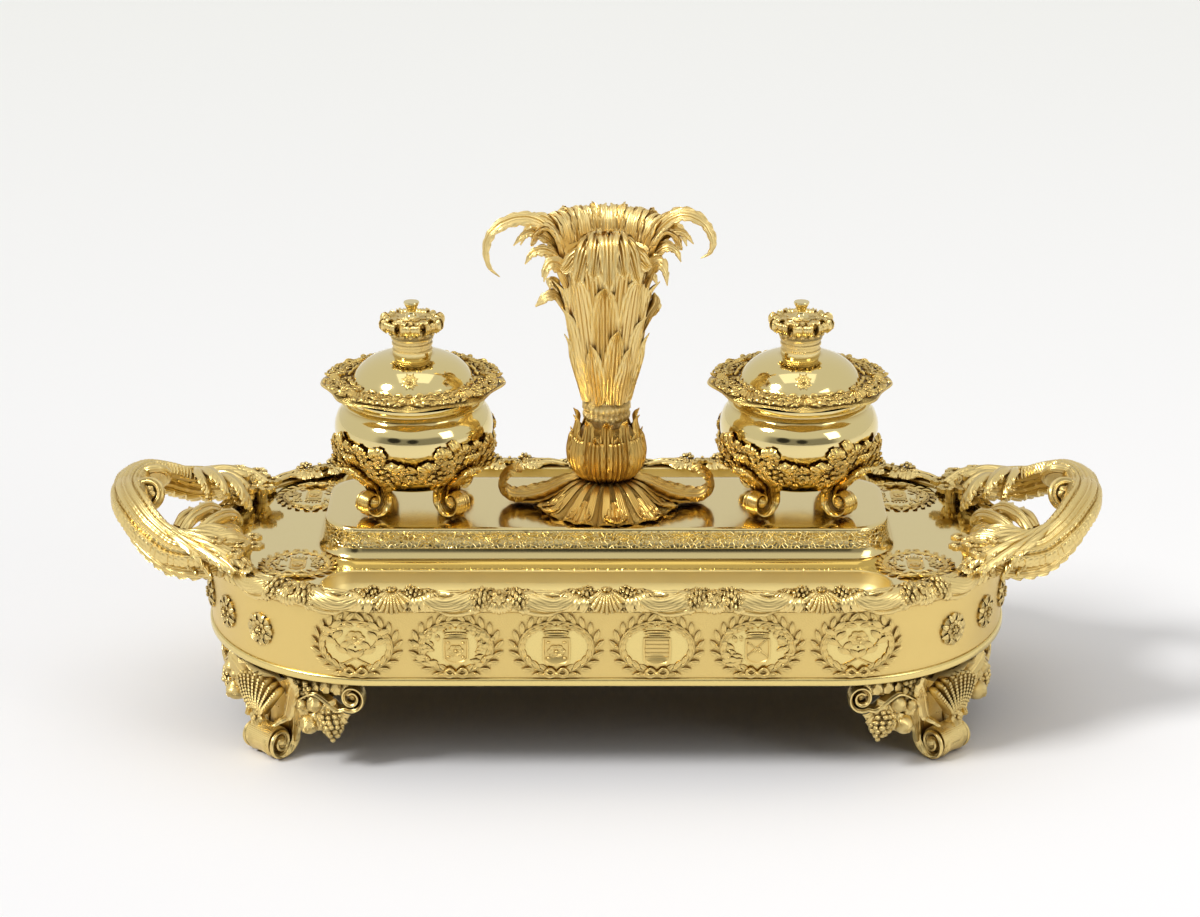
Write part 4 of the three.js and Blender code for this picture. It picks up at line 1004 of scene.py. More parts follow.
# %% Medallions
BAND_PITCH = 42.0
BADGES = [sprigs(), shield(12.6, mantle_seed=132), shield(14.0), shield(14.0, "bars"),
          shield(12.6, "saltire", 133), sprigs()]
band_wreath = moved(wreath(15.5, 11.5, 5.2), (0, 0, 0.4))
for side, start, step in (("front", 0.0, BAND_PITCH), ("back", HALF_RIM, -BAND_PITCH)):
    for k, badge in enumerate(BADGES):
        place = on_band(start + (k - 2.5) * step)
        badge = moved(scaled(badge, (1.35, 1.05, 0.85)), (0, 0, 0.3))
        make(f"wreath_{side}_{k + 1}", carried(merged(band_wreath, badge), place), LOW_CHASED,
             [f"band_medallion_{side}_{k + 1}"])
        make(f"field_{side}_{k + 1}", carried(field(13.4, 11.2), place), SATIN)

deck_badge = moved(scaled(shield(10.6, mantle_seed=112), (1.1, 1.1, 0.5)), (0, 0, 0.4))
deck_wreath = merged(wreath(13.6, 13.6, 4.6), deck_badge)
for corner in ("front_left", "front_right", "back_left", "back_right"):
    node = f"deck_medallion_{corner}"
    x, y, _ = (low(node) + high(node)) / 2
    turn = 0 if "front" in corner else math.pi
    make(f"deck_wreath_{corner}", moved(deck_wreath, (x, y, DECK_TOP), turn), LOW_CHASED, [node])
    make(f"deck_field_{corner}", moved(field(12.2, 12.2), (x, y, DECK_TOP)), BURNISHED)

# %% [markdown]
# ## Ink pots
# The bowls and lids were raised and burnished, so they are turned profiles. The lid's flange
# carries a cast wreath of shells, flowers and leaves with a lobed edge. All of a pot is made
# round the Z axis and moved to its place.

# %% Pot bowls and liners
POT_X = (low("pot_lid_right")[0] + high("pot_lid_right")[0]) / 2
BOWL_LOW, BOWL_TOP = low("pot_bowl_right")[2], high("pot_bowl_right")[2]
BOWL_R = high("pot_bowl_right")[0] - POT_X
BOWL_SHARES = [[0.02, 0], [0.4, 0.0], [0.58, 0.02], [0.7, 0.07], [0.82, 0.18], [0.9, 0.31],
               [0.96, 0.44], [0.99, 0.54], [1.0, 0.63], [0.99, 0.7], [0.955, 0.78],
               [0.91, 0.83], [0.865, 0.86], [0.86, 0.875], [0.885, 0.885], [0.9, 0.9], [0.885, 0.918],
               [0.862, 0.93], [0.862, 0.945], [0.875, 0.955], [0.875, 1.0], [0.83, 1.0], [0.83, 0.86],
               [0.9, 0.66], [0.7, 0.16], [0.4, 0.06], [0.02, 0.06]]
bowl = lathe([[r * BOWL_R, BOWL_LOW + z * (BOWL_TOP - BOWL_LOW)] for r, z in BOWL_SHARES])

LINER_LOW, LINER_TOP = low("pot_liner_right")[2], high("pot_liner_right")[2]
LINER_R, FLANGE_R = 21.5, 28.5
LINER_BORE = LINER_R - 2.0
liner = lathe([[0.1, LINER_LOW], [LINER_R - 3, LINER_LOW], [LINER_R - 0.8, LINER_LOW + 0.8],
               [LINER_R, LINER_LOW + 3], [LINER_R, BOWL_TOP], [FLANGE_R - 0.4, BOWL_TOP + 0.05],
               [FLANGE_R, BOWL_TOP + 0.5], [FLANGE_R - 0.3, LINER_TOP - 0.1],
               [LINER_BORE + 0.6, LINER_TOP - 0.05], [LINER_BORE, LINER_TOP - 0.6],
               [LINER_BORE, LINER_LOW + 5], [LINER_BORE - 2, LINER_LOW + 2.4],
               [0.1, LINER_LOW + 2.0]], 72)

# %% Lids
LID_R = high("pot_lid_right")[0] - POT_X
LID_H = high("pot_lid_right")[2] - LINER_TOP
LOBES = 8
PLUG = 19.1 / LID_R
DOME = [[0.665, 0.26], [0.65, 0.265], [0.635, 0.29], [0.62, 0.35], [0.6, 0.43], [0.57, 0.52],
        [0.53, 0.61], [0.48, 0.7], [0.42, 0.775], [0.35, 0.835], [0.28, 0.875], [0.22, 0.895]]
LID_SHARES = [[0.03, 0.66], [0.2, 0.62], [0.42, 0.2], [0.425, -0.17], [PLUG, -0.17], [PLUG, 0.0],
              [0.69, 0.0], [0.705, 0.04], [0.715, 0.12], [0.73, 0.15], [0.7, 0.22], *DOME,
              [0.21, 0.9], [0.21, 1.0], [0.03, 1.0]]
FLANGE_SHARES = [[0.63, 0.16], [0.8, 0.12], [0.9, 0.1], [0.94, 0.13], [0.93, 0.18], [0.8, 0.24],
                 [0.7, 0.27], [0.63, 0.27]]
FLANGE_IN, FLANGE_OUT = 0.655 * LID_R, 0.955 * LID_R


def on_lid_scale(rows):
    """Turns shares of the lid's radius and height into millimetres."""
    return np.array(rows) * [LID_R, LID_H] + [0, LINER_TOP]


def on_flange(angle):
    """Carries flat ornament to the lid's flange: X along it, +Y outwards."""
    def place(points):
        r = FLANGE_IN + points[:, 1]
        a = angle + points[:, 0] / ((FLANGE_IN + FLANGE_OUT) / 2)
        fall = 0.06 * LID_H * points[:, 1] / (FLANGE_OUT - FLANGE_IN)
        z = LINER_TOP + 0.27 * LID_H - fall + points[:, 2]
        return np.column_stack([r * np.cos(a), r * np.sin(a), z])
    return place


def flange_wave(rows, angle):
    grow = np.clip((rows[:, :1] / LID_R - 0.7) / 0.25, 0, 1)
    return grow * 1.5 * np.cos(LOBES * angle)[None]


def lid_lobe(seed):
    """A shell with flowers, leaves and berries at both sides."""
    random = np.random.default_rng(seed)
    parts = [moved(scallop(5.6, 7), (0, 3.6, 0.5)), moved(flower(1.7), (0, 3.8, 1.8))]
    for hand in (-1, 1):
        for x, y, r in ((6.6, 7.8, 2.1), (5.2, 2.6, 1.5), (10.2, 4.6, 2.1), (12.6, 8.8, 1.7),
                        (8.0, 4.6, 1.5), (9.4, 9.8, 1.5), (12.8, 5.6, 1.5), (3.4, 9.2, 1.5)):
            parts.append(moved(flower(r), (hand * x, y, 0.8), x))
        for *line, width in (((3, 1.2), (5, 0.4), (8, 0.6), 1.0), ((4, 6.4), (6, 9.0), (8.6, 10.4), 1.2),
                             ((9, 9), (11, 10.6), (13.2, 10.8), 1.0),
                             ((9, 1.0), (11, 0.4), (13.4, 1.0), 1.0),
                             ((2, 9.4), (3.6, 11.0), (5.6, 11.6), 0.9),
                             ((7, 5), (9.5, 6.4), (12.5, 6.8), 0.9), ((4, 4), (6.2, 5.4), (8.4, 6.4), 0.9)):
            spine = [[hand * x, y, z] for (x, y), z in zip(line, (0.3, 1.3, 0.6))]
            parts.append(leaf(spine, (0, -hand, 0), width, thick=0.6, teeth=3, flutes=2, ridge=0.25,
                              steps=9, across=7))
        for _ in range(22):
            at = (hand * random.uniform(3.0, 13.4), random.uniform(0.4, 11.4), 1.0)
            parts.append(ball(0.55 * random.uniform(0.8, 1.2), at, 6, 4))
    return merged(parts)


lid_dome = lathe(on_lid_scale(LID_SHARES))
lid_wreath = merged(lathe(on_lid_scale(FLANGE_SHARES), 128, radius_at=flange_wave, ring=True),
                    [carried(lid_lobe(k), on_flange(k * TURN / LOBES)) for k in range(LOBES)])

# %% [markdown]
# A small chased star sits on each dome, on the front. It is shallow relief that follows the
# dome: a ring of rays round a flower, a common badge.

# %% Star on the lid
STAR_RAYS = 16


def on_dome(points):
    """Carries flat ornament to the front of the dome: X round it, +Y upwards."""
    profile = on_lid_scale(DOME)
    share = np.clip(0.5 + points[:, 1] / 22, 0.02, 0.98)
    at, z = (np.interp(share, np.linspace(0, 1, len(profile)), profile[:, i]) for i in (0, 1))
    a = -math.pi / 2 + points[:, 0] / np.maximum(at, 1)
    r = at + points[:, 2] * 0.5
    return np.column_stack([r * np.cos(a), r * np.sin(a), z + points[:, 2] * 0.8])


star_parts = []
for k in range(STAR_RAYS):
    reach = 3.9 if k % 2 else 3.2
    star_parts.append(ray_leaf(ray(k * TURN / STAR_RAYS), [[1.2, 0], [reach * 0.6, 0.3], [reach, 0]],
                               0.55, thick=0.4, flutes=1, steps=4, across=5, outline=[0.5, 1, 0.1]))
lid_star = carried(merged(star_parts, flower(1.6, 6, 0.3)), on_dome)

# %% [markdown]
# The crown finial is cast: a ringed neck, a row of pearls, and a ring of leaves that rise and
# roll over outwards round a flat top of petals. The knob is turned like a small spool, and its
# stud screws the crown down.

# %% Crown and knob
CROWN = [[0.2, 0.0], [8.7, 0.0], [8.7, 0.6], [8.2, 1.0], [8.2, 2.2], [8.8, 2.6], [8.8, 3.4], [8.2, 3.8],
         [8.2, 4.8], [9.1, 5.2], [9.3, 6.0], [8.7, 6.6], [8.5, 7.4], [9.0, 8.4], [8.8, 9.6],
         [9.0, 11.0], [9.8, 12.6], [9.4, 13.6], [7.0, 13.4], [4.0, 13.0], [0.2, 13.0]]
CROWN_LEAVES = (([[8.6, 8.2], [9.4, 10.6], [10.6, 12.8], [12.0, 13.4], [12.5, 11.8], [11.6, 10.2]], 4.4),
                ([[8.4, 9.0], [8.8, 12.2], [9.8, 14.2], [11.0, 14.2], [11.4, 12.6]], 3.0))
CROWN_PEARLS = 16
KNOB = [[0.1, -8.2], [4.2, -8.2], [4.2, -7.3], [3.1, -6.6], [2.0, -5.2], [1.8, -4.0], [2.5, -2.3],
        [3.3, -0.9], [3.4, -0.4], [3.2, 0.0], [0.1, 0.0]]
CROWN_LOW, KNOB_TOP = low("crown_finial_right")[2], high("finial_knob_right")[2]
crown_parts = [moved(flower(11.0, 8, 0.16), (0, 0, 13.0)), moved(flower(6.6, 8, 0.2), (0, 0, 13.8), 0.39)]
for k in range(CROWN_PEARLS):
    d = ray(k * TURN / CROWN_PEARLS)
    crown_parts.append(ball(1.15, d * 9.5 + [0, 0, 8.2], 9, 6))
    rows, half = CROWN_LEAVES[k % 2]
    crown_parts.append(ray_leaf(d, rows, half, thick=2.0, teeth=2, cut=0.1, ridge=0.22, cup=-0.2,
                                outline=[0.6, 0.9, 1.0, 1.0, 0.85], steps=18, across=13))
    if k % 2:
        crown_parts.append(ball(1.2, d * 11.3 + [0, 0, 10.2], 9, 6))
crown = merged(lathe([[r, CROWN_LOW + h] for r, h in CROWN], 64),
               moved(merged(crown_parts), (0, 0, CROWN_LOW)))
knob = lathe([[r, KNOB_TOP + h] for r, h in KNOB], 48)

# %% [markdown]
# Each pot stands in a cast frame on four scrolled legs. A leaf climbs every leg and opens on the
# bowl, and grapes, vine leaves and flowers hang between the legs over a beaded arch. The frame
# is made with its feet at height 0.

# %% Pot stands
STAND_FOOT, STAND_SCROLL = 26.2, 7.6
BELT = np.array([[8.0, 22.0], [13.0, 23.4], [17.0, 26.0], [22.0, 30.4], [28.0, 33.4], [34.0, 34.6]])


def belt_radius(height):
    return np.interp(height, BELT[:, 0], BELT[:, 1])


def on_belt(points):
    """Carries ornament to the stand's flaring belt over +X: X along it, Y the height."""
    r = belt_radius(points[:, 1]) + points[:, 2]
    a = points[:, 0] / 30
    return np.column_stack([r * np.cos(a), r * np.sin(a), points[:, 1]])


def posy(random, count, half, y_low, y_high, flowers, leaf_size):
    """Flowers, curled leaves and berries strewn over a patch of the belt."""
    parts = []
    for _ in range(count):
        x, y = random.uniform(-half, half), random.uniform(y_low, y_high)
        x *= 0.55 + 0.45 * (y - y_low) / (y_high - y_low)
        d = ray(random.uniform(0, TURN))
        size = leaf_size * random.uniform(0.8, 1.2)
        rows = [[0, 0], [size * 0.5, 1.6], [size, 1.0], [size * 1.15, -0.2]]
        parts.append(ray_leaf(d, rows, size * 0.34, (x, y, 0.4), thick=0.9, teeth=3, cut=0.25,
                              ridge=0.25, steps=12))
        for right, up, out in ((1.4, -1.2, 1.6), (-1.6, 0.8, 1.4)):
            parts.append(ball(0.95 * random.uniform(0.8, 1.25), (x + right, y + up, out), 8, 5))
    for x, y, r in flowers:
        parts.append(moved(flower(r, 7), (x, y, 2.0), x + y))
    return parts


def stand_leg():
    """A leg that rolls up at its foot, with leaves and fruit that climb the bowl over it."""
    tail = [[31.6, 26.0], [28.6, 21.0], [24.0, 17.0], [20.4, 12.4]]
    roll = coil(STAND_SCROLL - 0.9, 1.2, 3.4, 2.2, tighten=0.66, steps=44, eye=0.36,
                tail=[[r - STAND_FOOT, h - STAND_SCROLL] for r, h in tail],
                widths=[2.6, 2.3, 1.8, 1.25, 1.0, 0.95, 0.9])
    points = roll[0][:, [0, 2, 1]] + [STAND_FOOT, 0, STAND_SCROLL]
    points[:, 2] = np.maximum(points[:, 2], 0.02)
    parts = [(points, roll[1], roll[2])]
    for hand in (-1, 1):
        parts.append(ball(2.7, (STAND_FOOT, hand * 2.0, STAND_SCROLL), 14, 9))
        bracket = [[19.6, hand * 1.0, 4.0], [19.8, hand * 3.0, 9.0], [22.6, hand * 5.4, 15.0],
                   [28.0, hand * 7.2, 21.0], [32.4, hand * 7.6, 27.0]]
        parts.append(leaf(bracket, (0.3, hand, 0), 4.6, thick=1.8, teeth=7, cut=0.2, flutes=4, ridge=0.24,
                          cup=-0.2, outline=[0.3, 0.7, 1.0, 1.0, 0.7], steps=32, across=11))
    knee = [[23.0, 9.6], [24.6, 13.6], [28.0, 18.0], [32.6, 22.0], [36.4, 24.4], [37.6, 23.2]]
    parts.append(leaf([[x, 0, z] for x, z in knee], (0, -1, 0), 6.0, thick=2.0, teeth=6, cut=0.22,
                      flutes=4, ridge=0.2, cup=-0.3, outline=[0.55, 0.8, 1.0, 1.0, 0.8, 0.3], steps=30,
                      across=15))
    front = [[24.6, 16.6], [28.0, 18.6], [32.8, 23.6], [35.8, 28.6], [37.6, 31.2], [38.4, 30.0]]
    parts.append(leaf([[x, 0, z] for x, z in front], (0, -1, 0), 4.6, thick=1.4, teeth=6, cut=0.2,
                      flutes=4, ridge=0.22, outline=[0.5, 0.9, 1.0, 0.9, 0.3], steps=28, across=13))
    spots = [(-9.6, 28.6, 3.1), (9.8, 28.0, 3.2), (-5.4, 32.0, 2.6), (5.6, 32.2, 2.6), (-12.4, 32.0, 2.4),
             (12.6, 31.6, 2.4), (-8.0, 24.2, 2.6), (8.0, 23.6, 2.6), (0, 33.4, 2.2)]
    cluster = posy(np.random.default_rng(8), 24, 14.5, 21.0, 33.0, spots, 5.4)
    for hand in (-1, 1):
        fruit = bunch(8.0, 3.2, 3 + hand, 1.2)
        cluster.append(moved(fruit, (hand * 12.6, 26.0, 2.0), hand * 0.4))
        for x, y, turn, size in ((15.0, 25.6, 1.2, 6.4), (10.6, 32.0, 0.4, 5.2), (3.4, 32.0, -0.2, 4.6)):
            cluster.append(moved(vine_leaf(size), (hand * x, y, 1.6), -hand * turn))
    return merged(parts, carried(merged(cluster), on_belt))


def stand_swag(seed):
    """The light swag in the gap between two legs, over the beaded arch."""
    spots = [(0, 22.4, 3.0), (-4.6, 24.4, 2.2), (4.6, 24.6, 2.2), (-1.8, 27.0, 1.9), (8.6, 27.0, 2.2),
             (-8.6, 26.8, 2.2)]
    parts = posy(np.random.default_rng(seed), 16, 11.0, 20.4, 27.0, spots, 4.4)
    for x in np.linspace(-16, 16, 14):
        parts.append(ball(1.0, (x, 19.4 - 0.008 * x * x, 0.4), 8, 5))
    return carried(merged(parts), on_belt)


belt_heights = np.array([19.2, 20.6, 22, 23.6, 25.2])
belt_side = np.stack([belt_radius(belt_heights), PLATFORM_TOP + belt_heights], 1)
belt_ring = lathe(np.vstack([belt_side - [0.6, 0], (belt_side + [0.7, 0])[::-1]]), 96, ring=True)
leg = stand_leg()
on_platform = (0, 0, PLATFORM_TOP)
stand = merged(belt_ring, [moved(part, on_platform, TURN * share / 4) for k in range(4)
                           for part, share in ((leg, k + 0.5), (stand_swag(k), k))])

for side, x in (("left", -POT_X), ("right", POT_X)):
    for name, made, finish, node, body in (
            ("bowl", bowl, BURNISHED, "pot_bowl", "pot"), ("stand", stand, AMBER_GILT, "pot_stand", "pot"),
            ("ink_glass", liner, INK_GLASS, "pot_liner", "liner"),
            ("lid_dome", lid_dome, BURNISHED, "pot_lid", "lid"),
            ("lid_wreath", merged(lid_wreath, lid_star), AMBER_GILT, None, "lid"),
            ("crown", crown, CHASED, "crown_finial", "lid"),
            ("knob", knob, BURNISHED, "finial_knob", "lid")):
        make(f"{name}_{side}", moved(made, (x, 0, 0)), finish, [f"{node}_{side}"] if node else (),
             f"{body}_{side}")

# %% [markdown]
# ## Pen vase
# The vase is a socket dressed as a bunch of tall leaves. A turned core keeps the socket open
# for the pens, and every leaf is laid on it with its root hidden under the next tier.

# %% Vase core and trunk leaves
CORE = [[2.2, low("pen_vase")[2]], [2.2, 127.0], [6.8, 127.5], [7.4, 130.5], [7.2, 133.5], [9.6, 135.2],
        [10.0, 137.0], [9.2, 138.4], [10.1, 139.6], [10.1, 141.6], [9.2, 143.0], [9.6, 150.0],
        [12.0, 165.0], [15.0, 186.0], [17.6, 200.0], [18.6, 208.0], [18.2, 210.0],
        [16.8, 209.0], [16.0, 198.0], [13.4, 186.0], [10.4, 166.0], [8.0, 150.0], [4.0, 148.0],
        [0.1, 148.0]]
TRUNK = np.array([[9.2, 142], *CORE[11:16]])
OUTER_ROWS = 16
NOTCHES, TRUNK_FLUTES = 26, 24


def core_wave(rows, angle):
    """Notches on the collar and flutes on the outside of the trunk."""
    r, z = rows[:, :1], rows[:, 1:]
    collar = (z > 134.5) & (z < 142.5) & (r > 9)
    trunk = (z > 149) & (r > 9) & (np.arange(len(rows)) < OUTER_ROWS)[:, None]
    return (0.5 * collar * np.abs(np.sin(NOTCHES / 2 * angle))
            + 0.35 * trunk * np.abs(np.sin(TRUNK_FLUTES / 2 * angle)))


def trunk_leaf(degrees, top, half, root, stand, curl, teeth):
    """A leaf that lies on the trunk from height `root`, and curls away at its tip."""
    rows = [[np.interp(z, TRUNK[:, 1], TRUNK[:, 0]) + stand * (0.2 + 0.8 * k / 4), z]
            for k, z in enumerate(np.linspace(root, top - 11, 5))]
    shoulder = rows[-1][0]
    rows += [[shoulder + curl * 0.45, top - 4.5], [shoulder + curl * 1.25, top]]
    return ray_leaf(ray(math.radians(degrees)), rows, half, thick=1.2, teeth=teeth, cut=0.1,
                    flutes=6, ridge=0.17, cup=-0.3, outline=[0.5, 0.85, 1.0, 1.0, 0.9, 0.68, 0.34, 0.03],
                    steps=40, across=19)


# Each tier has its root height, how far it stands off, its curl and teeth, and then its leaves
# as degrees, top and half width.
TIERS = [((150, 1.0, 5.4, 5), [(-67.5 + 45 * k, 212, 8.2) for k in range(8)]),
         ((146, 2.0, 4.8, 4), [(-92, 200, 7.6), (-128, 206, 7.0), (-52, 204, 7.0), (-8, 197, 6.8),
                               (-172, 197.5, 6.8), (42, 199, 6.8), (92, 204, 7.2), (140, 198, 6.8)]),
         ((143.6, 2.8, 4.0, 3), [(-36, 184, 5.8), (-152, 187, 5.8), (16, 185, 5.6), (66, 182, 5.8),
                                 (116, 186, 5.8), (-196, 184, 5.6), (-76, 180, 5.6)]),
         ((143.2, 3.4, 2.8, 3), [(-112, 173, 5.2), (-56, 171, 5.0), (-10, 174, 5.2), (40, 172, 5.2),
                                 (92, 173, 5.2), (144, 172, 5.2), (-166, 174, 5.2)])]
vase_parts = [lathe(CORE, 104, radius_at=core_wave)]
vase_parts += [trunk_leaf(*row, *tier) for tier, rows in TIERS for row in rows]

# %% [markdown]
# Over the mouth the leaves fall outwards: plumes at the back and sides, a fan of broad tips that
# hang over the front, and long curled leaves at the left and right that end in hooks.

# %% Plumes, front tips and side curls
for degrees, tall in ((6, 218.5), (30, 221.0), (59, 222.0), (88, 222.6), (117, 222.4), (147, 222.0),
                      (172, 220.0)):
    rows = [[17.6, 196], [18.2, 207], [20.2, tall - 5], [24.0, tall - 0.6], [28.6, tall - 2.2],
            [31.0, tall - 7.5]]
    for turn, lift, half, flutes, first in ((0, 0, 7.6, 5, 0), (-0.17, 1.0, 3.6, 3, 1),
                                            (0.17, 1.0, 3.6, 3, 1), (0.0, 0.4, 3.8, 3, 0)):
        line = [[r + lift, z + lift * 0.6] for r, z in rows[first:]]
        vase_parts.append(ray_leaf(ray(math.radians(degrees) + turn), line, half, thick=1.3, teeth=7,
                                   cut=0.16, sweep=0.5, flutes=flutes, cup=-0.14, steps=30,
                                   outline=[0.75, 0.9, 1.0, 1.0, 0.9, 0.4], across=15))

for x, y, z, half in ((-19.5, -21.0, 207.5, 4.4), (-13.4, -27.5, 201.5, 4.8), (-6.0, -30.5, 204.8, 5.0),
                      (1.2, -32.0, 199.8, 5.2), (8.0, -30.0, 205.5, 4.8), (14.0, -26.0, 201.8, 4.6),
                      (19.0, -20.5, 208.5, 4.2), (-9.4, -25.0, 211.8, 3.8), (4.6, -26.6, 212.2, 3.8)):
    crest = 223.2 - 0.019 * x * x
    spine = [[x * 0.2, -17.6, 203], [x * 0.22, -18.4, 214], [x * 0.3, -20.0, crest - 0.8],
             [x * 0.45, -21.6, crest], [x * 0.68, y * 0.5 - 12.0, crest - 2.4],
             [x * 0.88, y * 0.85 - 4.4, z * 0.55 + crest * 0.45 - 2.6], [x, y, z]]
    fall = unit(np.array([x * 0.55, 0, z - crest]))
    vase_parts.append(leaf(spine, (-fall[2], 0, fall[0]), half, thick=1.5, teeth=6, cut=0.18, flutes=5,
                           ridge=0.18, cup=-0.2, steps=44, across=17,
                           outline=[0.6, 0.65, 0.8, 1.0, 0.98, 0.82, 0.5, 0.03]))


def curled(spine, half, lean, steps, **look):
    """A leaf whose spine lies near the XZ plane, with its face turned to the front by `lean`."""
    path = smooth(spine, steps)
    tangent = unit(np.gradient(path, axis=0) * [1, 0, 1])
    up = np.stack([-tangent[:, 2], 0 * tangent[:, 0], tangent[:, 0]], -1)
    up = up * np.sign(path[-1, 0] - path[0, 0])
    side = unit(up * math.sin(lean) + [0, math.cos(lean), 0])
    return leaf(spine, side, half, flutes=4, steps=steps, **look)


SIDE_CURLS = [
    ([-15, 6, 199], [-20.5, 5, 213], [-29.5, 3, 222.0], [-38.5, 1, 223.6], [-47.6, -1, 219.6],
     [-51.4, -2, 211.5], [-50.0, -3, 203.5], [-45.6, -4, 199.4], 4.2, 12),
    ([-15, 4, 199], [-22, 3, 211.6], [-29.4, 2, 217.0], [-35.4, 1, 216.4], [-39.6, 0, 212.0], 3.4, 6),
    ([-16, 7, 204], [-20.5, 7, 216], [-26, 6, 222.2], [-32, 5, 223.4], [-36.5, 5, 220], 3.6, 6),
    ([-14, 1, 196], [-20, -2, 206.0], [-26, -4, 211.0], [-31.4, -5, 210.2], [-34.6, -6, 205.6], 4.0, 6),
    ([-13, -4, 195], [-18, -6, 203.4], [-22.6, -8, 206.6], [-26.0, -9, 204.6], [-27.4, -9, 200.8], 3.8, 5),
    ([-16, -9, 197], [-19.4, -13, 206], [-22.8, -16, 209], [-25.4, -18, 206.6], [-26.4, -19, 201.6],
     3.8, 4),
    ([-15, 12, 200], [-21, 13, 212], [-28, 14, 218], [-34, 15, 215], [-37, 15, 208], 4.4, 6),
    ([15, 6, 199], [20, 5, 214], [26, 3, 222], [33, 1, 225.4], [40.8, -1, 222.6], [45.0, -2, 215.4],
     [44.0, -3, 210.0], [40.2, -4, 207.6], 4.2, 12),
    ([15, 4, 199], [21, 3, 211.6], [27.4, 1, 217.4], [33, 0, 217.2], [37.0, -1, 213.0], 3.4, 6),
    ([14, 1, 197], [19, -2, 207], [24.4, -4, 212.4], [29, -5, 211.6], [31.6, -6, 206.6], 4.0, 6),
    ([13, -4, 196], [17, -6, 204], [21.2, -8, 207.6], [24.2, -9, 205.4], [25.2, -9, 200.8], 3.8, 5),
    ([12, -6, 194], [15.4, -9, 200.6], [19.0, -11, 202.8], [21.6, -12, 198.0], 3.4, 4),
    ([16, -9, 197], [19.4, -13, 206], [22.4, -16, 208.4], [24.6, -18, 205.6], [25.6, -19, 200], 3.8, 4),
    ([15, 12, 200], [21, 13, 212], [27, 14, 217.6], [32, 15, 214], [34.6, 15, 207.6], 4.4, 6)]
SIDE_SHOOTS = [([-17, -2, 183], [-21, -3, 190.2], [-25.5, -4, 190.6], [-30.3, -4, 186.2], 3.2),
               ([-17.5, 0, 186], [-21, -1, 194], [-23.6, -1, 196.6], [-24.2, -2, 193.4], 3.0),
               ([14.5, -3, 174], [17.4, -4, 182], [20.6, -4, 188], [20.4, -4, 192.2], 3.6),
               ([14.6, 4, 172], [18.4, 4, 180], [21.6, 4, 183.8], [22.2, 4, 181.4], 3.2)]
for *spine, half, cuts in SIDE_CURLS:
    vase_parts.append(curled(spine, half, 0.6, 48, thick=1.3, teeth=cuts, ridge=0.2, cup=-0.16,
                             outline=[0.8, 1.0, 1.0, 0.86, 0.66, 0.42, 0.08], across=15))
for *spine, half in SIDE_SHOOTS:
    vase_parts.append(curled(spine, half, 0.7, 16, thick=1.4, teeth=3, across=11))
make("vase_leaves", merged(vase_parts), LEAF_GILT, ["pen_vase"])

# %% [markdown]
# The calyx is a closed bud of pointed leaves in two rings. The base under it is a fluted skirt
# with a cut edge, and its two side leaves run out over the platform and hook upwards. Both have
# a browner gilding than the vase.

# %% Calyx and base
CALYX_LOW = low("vase_calyx")[2]
SKIRT_LOW, SKIRT_HIGH = low("vase_base")[2], high("vase_base")[2]
PLEATS, CALYX_LEAVES = 22, 10
SKIRT_FACE_ROWS = 11
FRONT = -math.pi / 2
bud = [[2.4, CALYX_LOW], [8.6, CALYX_LOW], [9.8, CALYX_LOW + 1.2], [13.0, 112.0], [14.4, 118.0],
       [13.6, 124.0], [11.0, 129.5], [7.9, 131.5], [2.4, 130.0]]
calyx_parts = [lathe(bud, 64, ring=True)]
for ring, (tip_r, tip_z) in enumerate(((15.0, 137.4), (15.6, 130.4))):
    rows = [[9.4, CALYX_LOW + 0.6], [13.4 + ring * 0.7, 112.4], [15.0 + ring, 119.0],
            [14.2 + ring, 126.0], [13.0 + 1.4 * ring, tip_z - 3.4], [tip_r, tip_z]]
    for k in range(CALYX_LEAVES):
        d = ray(TURN * (k + 0.5 * (1 - ring)) / CALYX_LEAVES)
        calyx_parts.append(ray_leaf(d, rows, 4.5, teeth=7, cut=0.16, sweep=0.4, flutes=4, ridge=0.24,
                                    cup=-0.1, outline=[0.7, 0.95, 1.0, 0.85, 0.48, 0.04], steps=28,
                                    across=13))
make("calyx_leaves", merged(calyx_parts), EARTH_GILT, ["vase_calyx"])

SKIRT = [[2.6, SKIRT_HIGH], [9.6, SKIRT_HIGH], [11.4, 107.2], [14.4, 106.4], [18.0, 104.6],
         [22.0, 101.8], [25.6, 98.9], [28.4, 97.0], [29.8, 96.3], [29.8, 95.4], [27.0, 95.6],
         [22.0, 98.6], [16.0, 102.6], [9.0, 104.4], [8.0, SKIRT_LOW], [2.6, SKIRT_LOW]]


def skirt_growth(rows, start, reach):
    """How strongly the pleats show on each row of the skirt, which is nothing underneath."""
    return (np.clip((rows[:, :1] - start) / reach, 0, 1)
            * (np.arange(len(rows)) < SKIRT_FACE_ROWS)[:, None])


def skirt_wave(rows, angle):
    return skirt_growth(rows, 10, 9) * 1.7 * (np.abs(np.sin(PLEATS / 2 * angle)) - 0.5)


def skirt_edge(rows, angle):
    scallops = np.abs(np.sin(PLEATS / 2 * angle)) + 0.3 * np.abs(np.sin(PLEATS * 1.5 * angle))
    return skirt_growth(rows, 24, 6) * 1.6 * (scallops - 0.6)


